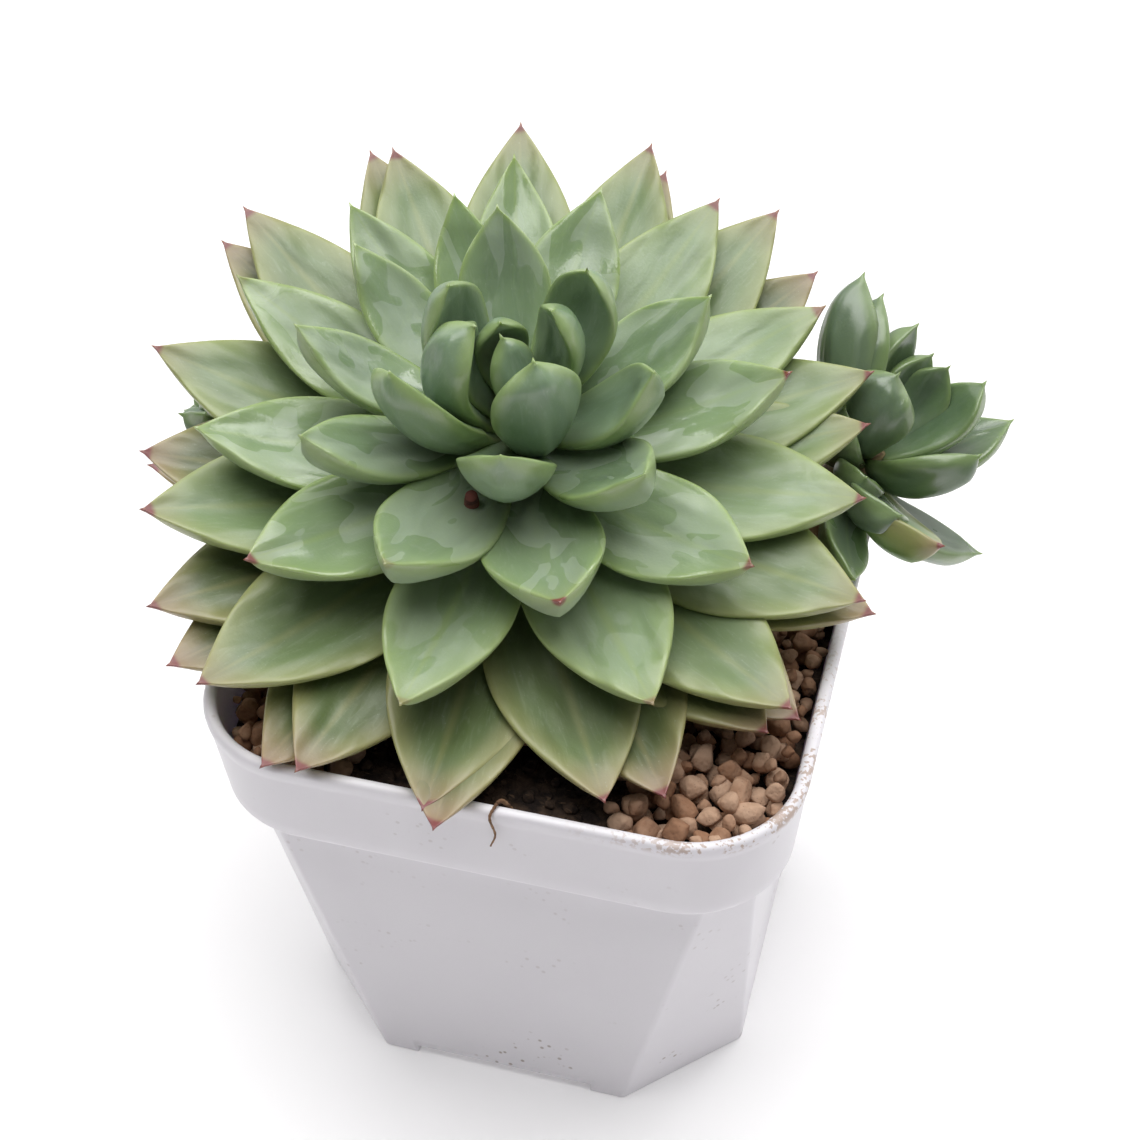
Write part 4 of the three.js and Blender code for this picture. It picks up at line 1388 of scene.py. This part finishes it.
@dataclass
class Filling:
    """Gravel top dressing and the bare strip of potting mix along the front."""

    pot: Pot
    gravel_top: float = GRAVEL_TOP
    bare_half: float = 20.0
    bare_top: float = GRAVEL_TOP - 2.0
    bare_depth: float = 15.0
    stem_at: tuple[float, float] = (-11.0, 15.5)
    stem_radius: float = 7.5
    wall_gap: float = 0.7
    overhang: float = 0.3

    def inside(self, x: float, y: float, r: float) -> bool:
        """Whether a grain of radius r at x, y lies inside the pot's wall."""
        half = self.pot.rim_half - self.pot.wall - r - self.wall_gap
        corner = self.pot.rim_corner - self.pot.wall - r
        ax, ay = abs(x) - (half - corner), abs(y) - (half - corner)
        if ax > 0 and ay > 0:
            return math.hypot(ax, ay) < corner
        return max(abs(x), abs(y)) < half

    def bare(self, x: float, y: float, r: float) -> bool:
        """Whether a grain of radius r at x, y would lie in the bare strip."""
        back = -(self.pot.collar_half - self.pot.wall) + self.bare_depth
        ragged = 1.8 * math.sin(0.55 * x) + 1.2 * math.sin(1.3 * x + 2)
        side = self.bare_half + 1.5 * math.sin(0.9 * y)
        lean_in = self.overhang * r
        return abs(x) < side - lean_in and y < back + ragged - lean_in

    def gravel_may(self, x: float, y: float, r: float) -> bool:
        """Whether a pebble may lie here."""
        off_stem = math.hypot(x - self.stem_at[0], y - self.stem_at[1]) > self.stem_radius + r
        return self.inside(x, y, r) and not self.bare(x, y, r) and off_stem

    def mix_may(self, x: float, y: float, r: float) -> bool:
        """Whether a crumb of mix may lie here."""
        return self.inside(x, y, r) and self.bare(x, y, -1.0)

    def build(self, clay: Material, dark: Material) -> list[Object]:
        """Make the pebbles and the crumbs, and hide the gravel solid.

        Args:
            clay: The pebbles' material.
            dark: The mix's material.

        Returns:
            The new pieces.
        """
        made = []
        layers = (
            ("gravel_lower", Scatter(21, 1.2, 2.1, self.gravel_top - 3.6, 0.8, 4200)),
            ("gravel_middle", Scatter(24, 1.2, 2.2, self.gravel_top - 2.1, 1.0, 4200)),
            ("gravel_upper", Scatter(22, 1.1, 2.3, self.gravel_top - 0.4, 1.2, 5200)),
            ("gravel_loose", Scatter(23, 0.8, 2.0, self.gravel_top + 0.8, 1.2, 420, 1.7)),
        )
        for name, scatter in layers:
            places = scatter.place(self.gravel_may, self.pot.rim_half)
            fineness = 2 if name == "gravel_lower" else 3
            skin = grains(places, scatter.seed * 10, level=fineness)
            made.append(skin.to_object(name, clay))
            LOG.info("%s: %d pebbles", name, len(places))
        for name in ("gravel_middle", "gravel_upper"):
            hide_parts("gravel")
        crumbs = Scatter(31, 0.35, 1.5, self.bare_top + 0.2, 1.2, 3600, 0.8)
        places = crumbs.place(self.mix_may, self.pot.rim_half)
        made.append(grains(places, crumbs.seed * 10).to_object("mix_crumbs", dark))
        LOG.info("mix crumbs: %d", len(places))
        for obj in made:
            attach(obj, "root")
        return made


@dataclass
class Rootlet:
    """Thin dry root that hangs over the front lip."""

    lip: float = POT_HEIGHT
    front: float = -RIM_HALF
    wall: float = POT_WALL
    x: float = 4.0
    radius: float = 0.35
    drop: float = 7.0
    clearance: float = 0.3

    def build(self, bark: Material) -> Object:
        """Make the rootlet, standing for its CAD node.

        Args:
            bark: Its material.

        Returns:
            The rootlet.
        """
        off = self.radius + self.clearance
        corners = [
            (self.x + 1.5, self.front + self.wall + off + 0.8, self.lip - 2.5),
            (self.x + 0.8, self.front + self.wall + off + 0.2, self.lip - 0.6),
            (self.x + 0.4, self.front + self.wall, self.lip + off - 0.2),
            (self.x, self.front + 0.6, self.lip + off - 0.25),
            (self.x - 0.4, self.front - off + 0.1, self.lip - 0.8),
            (self.x + 0.2, self.front - off + 0.3, self.lip - self.drop * 0.6),
            (self.x - 0.6, self.front - off + 0.4, self.lip - self.drop),
        ]
        route = smooth_route(corners, 9)
        radii = np.linspace(self.radius, self.radius * 0.35, len(route))
        radii = radii * (1 + 0.15 * np.sin(np.arange(len(route)) * 1.9))
        obj = tube(route, radii, 10).to_object("dry_rootlet", bark)
        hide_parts("rootlet")
        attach(obj, "root")
        LOG.info("rootlet")
        return obj


# ------------------------------------------------------------------ studio


@dataclass
class Lamp:
    """One soft rectangular light."""

    name: str
    at: tuple[float, float, float]
    size: float
    power: float
    colour: Colour = (1.0, 1.0, 1.0)

    def build(self, aim: Vector) -> None:
        """Make the light, turned to a point.

        Args:
            aim: Where it points, in metres.
        """
        data = bpy.data.lights.new(self.name, "AREA")
        data.shape = "SQUARE"
        data.size = self.size
        data.energy = self.power
        data.color = self.colour
        obj = bpy.data.objects.new(self.name, data)
        obj.location = self.at
        obj.rotation_euler = (aim - Vector(self.at)).to_track_quat("-Z", "Y").to_euler()
        bpy.context.scene.collection.objects.link(obj)


@dataclass
class Studio:
    """White floor, soft lights and the camera."""

    target: tuple[float, float, float] = (2.45, 0.89, 80.44)
    distance: float = 295.7
    azimuth: float = 16.16
    elevation: float = 42.05
    roll: float = -1.25
    lens: float = 61.0
    front_fill: float = 0.10
    back_fill: float = 0.80
    backdrop: Colour = (0.96, 0.95, 0.955)
    sensor: float = 36.0
    near: float = 0.01
    floor_half: float = 3000.0
    aim: tuple[float, float, float] = (0.0, 0.0, 0.09)
    lamps: tuple[Lamp, ...] = (
        Lamp("overhead", (0.0, 0.04, 0.95), 0.9, 9.5),
        Lamp("back_right", (0.65, 0.60, 0.60), 0.5, 0.9),
        Lamp("back_left", (-0.70, 0.45, 0.55), 0.5, 0.7),
    )

    def camera(self) -> None:
        """Make the camera and set it as the scene's."""
        az, el, roll = (math.radians(v) for v in (self.azimuth, self.elevation, self.roll))
        back = Vector((math.sin(az) * math.cos(el), -math.cos(az) * math.cos(el), math.sin(el)))
        right = Vector((math.cos(az), math.sin(az), 0))
        up = back.cross(right)
        tilted = right * math.cos(roll) + up * math.sin(roll)
        over = back.cross(tilted)
        place = (Vector(self.target) + back * self.distance) * MM
        turn = Matrix((tilted, over, back)).transposed().to_4x4()
        data = bpy.data.cameras.new("camera")
        data.lens = self.lens
        data.sensor_width = self.sensor
        data.clip_start = self.near
        camera = bpy.data.objects.new("camera", data)
        camera.matrix_world = Matrix.Translation(place) @ turn
        bpy.context.scene.collection.objects.link(camera)
        bpy.context.scene.camera = camera

    def surroundings(self) -> bpy.types.World:
        """Make the world: a pale backdrop whose light grows from the front to the back.

        Returns:
            The world.
        """
        world = bpy.data.worlds.new("studio")
        world.use_nodes = True
        nodes, links = world.node_tree.nodes, world.node_tree.links
        background = nodes["Background"]
        parts = nodes.new("ShaderNodeSeparateXYZ")
        links.new(nodes.new("ShaderNodeTexCoord").outputs["Generated"], parts.inputs[0])
        level = nodes.new("ShaderNodeMapRange")
        level.interpolation_type = "SMOOTHSTEP"
        span = {"From Min": -0.3, "From Max": 0.7}
        span |= {"To Min": self.front_fill, "To Max": self.back_fill}
        for key, value in span.items():
            level.inputs[key].default_value = value
        links.new(parts.outputs["Y"], level.inputs["Value"])
        links.new(level.outputs["Result"], background.inputs["Strength"])
        background.inputs["Color"].default_value = (1.0, 1.0, 1.0, 1.0)
        seen = nodes.new("ShaderNodeBackground")
        seen.inputs["Color"].default_value = (*self.backdrop, 1.0)
        choice = nodes.new("ShaderNodeMixShader")
        path = nodes.new("ShaderNodeLightPath")
        links.new(path.outputs["Is Camera Ray"], choice.inputs[0])
        links.new(background.outputs[0], choice.inputs[1])
        links.new(seen.outputs[0], choice.inputs[2])
        links.new(choice.outputs[0], nodes["World Output"].inputs["Surface"])
        return world

    def build(self, white: Material) -> None:
        """Make the floor, the lights and the camera.

        Args:
            white: The floor's material.
        """
        signs = ((-1, -1), (1, -1), (1, 1), (-1, 1))
        corners = np.array([[x * self.floor_half, y * self.floor_half, 0.0] for x, y in signs])
        floor = Skin(corners, [(0, 1, 2, 3)]).to_object("floor", white)
        for lamp in self.lamps:
            lamp.build(Vector(self.aim))
        bpy.context.scene.world = self.surroundings()
        bpy.context.scene.view_settings.view_transform = "Standard"
        self.camera()
        LOG.info("studio")


def dress(frame: dict[str, Any], node: str, material: Material) -> None:
    """Give a CAD node a finish.

    Args:
        node: The node's name.
        material: Its material.
    """
    for slot in frame["nodes"][node].material_slots:
        slot.material = material


def main() -> None:
    """Build every piece in order and report each one."""
    logging.basicConfig(level=logging.INFO, format="%(message)s")
    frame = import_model()
    wax = LeafFinish().material()
    shaded = SHADED_LEAF.material()
    bark = BarkFinish("stem_cork").material()
    dry = BarkFinish("root_dry", (0.30, 0.17, 0.09), (0.14, 0.07, 0.035)).material()
    scar = BarkFinish("stub_dry", (0.26, 0.075, 0.060), (0.09, 0.030, 0.025)).material()
    dark = MixFinish().material()
    clay = StoneFinish().material()
    pot = Pot()
    pot.build(PotFinish().material())
    rosette = MainRosette()
    rosette.build(wax)
    rosette.flower_stub(scar)
    Stem(rosette).build(bark)
    # the daughter rosettes take the darker leaf finish, which paints their shade
    for daughter in (RIGHT_DAUGHTER, LEFT_DAUGHTER):
        daughter.build(shaded, bark)
    Filling(pot).build(clay, dark)
    dress(frame, "potting_mix", dark)
    Rootlet().build(dry)
    Studio().build(FloorFinish().material())


if __name__ == "__main__":
    main()
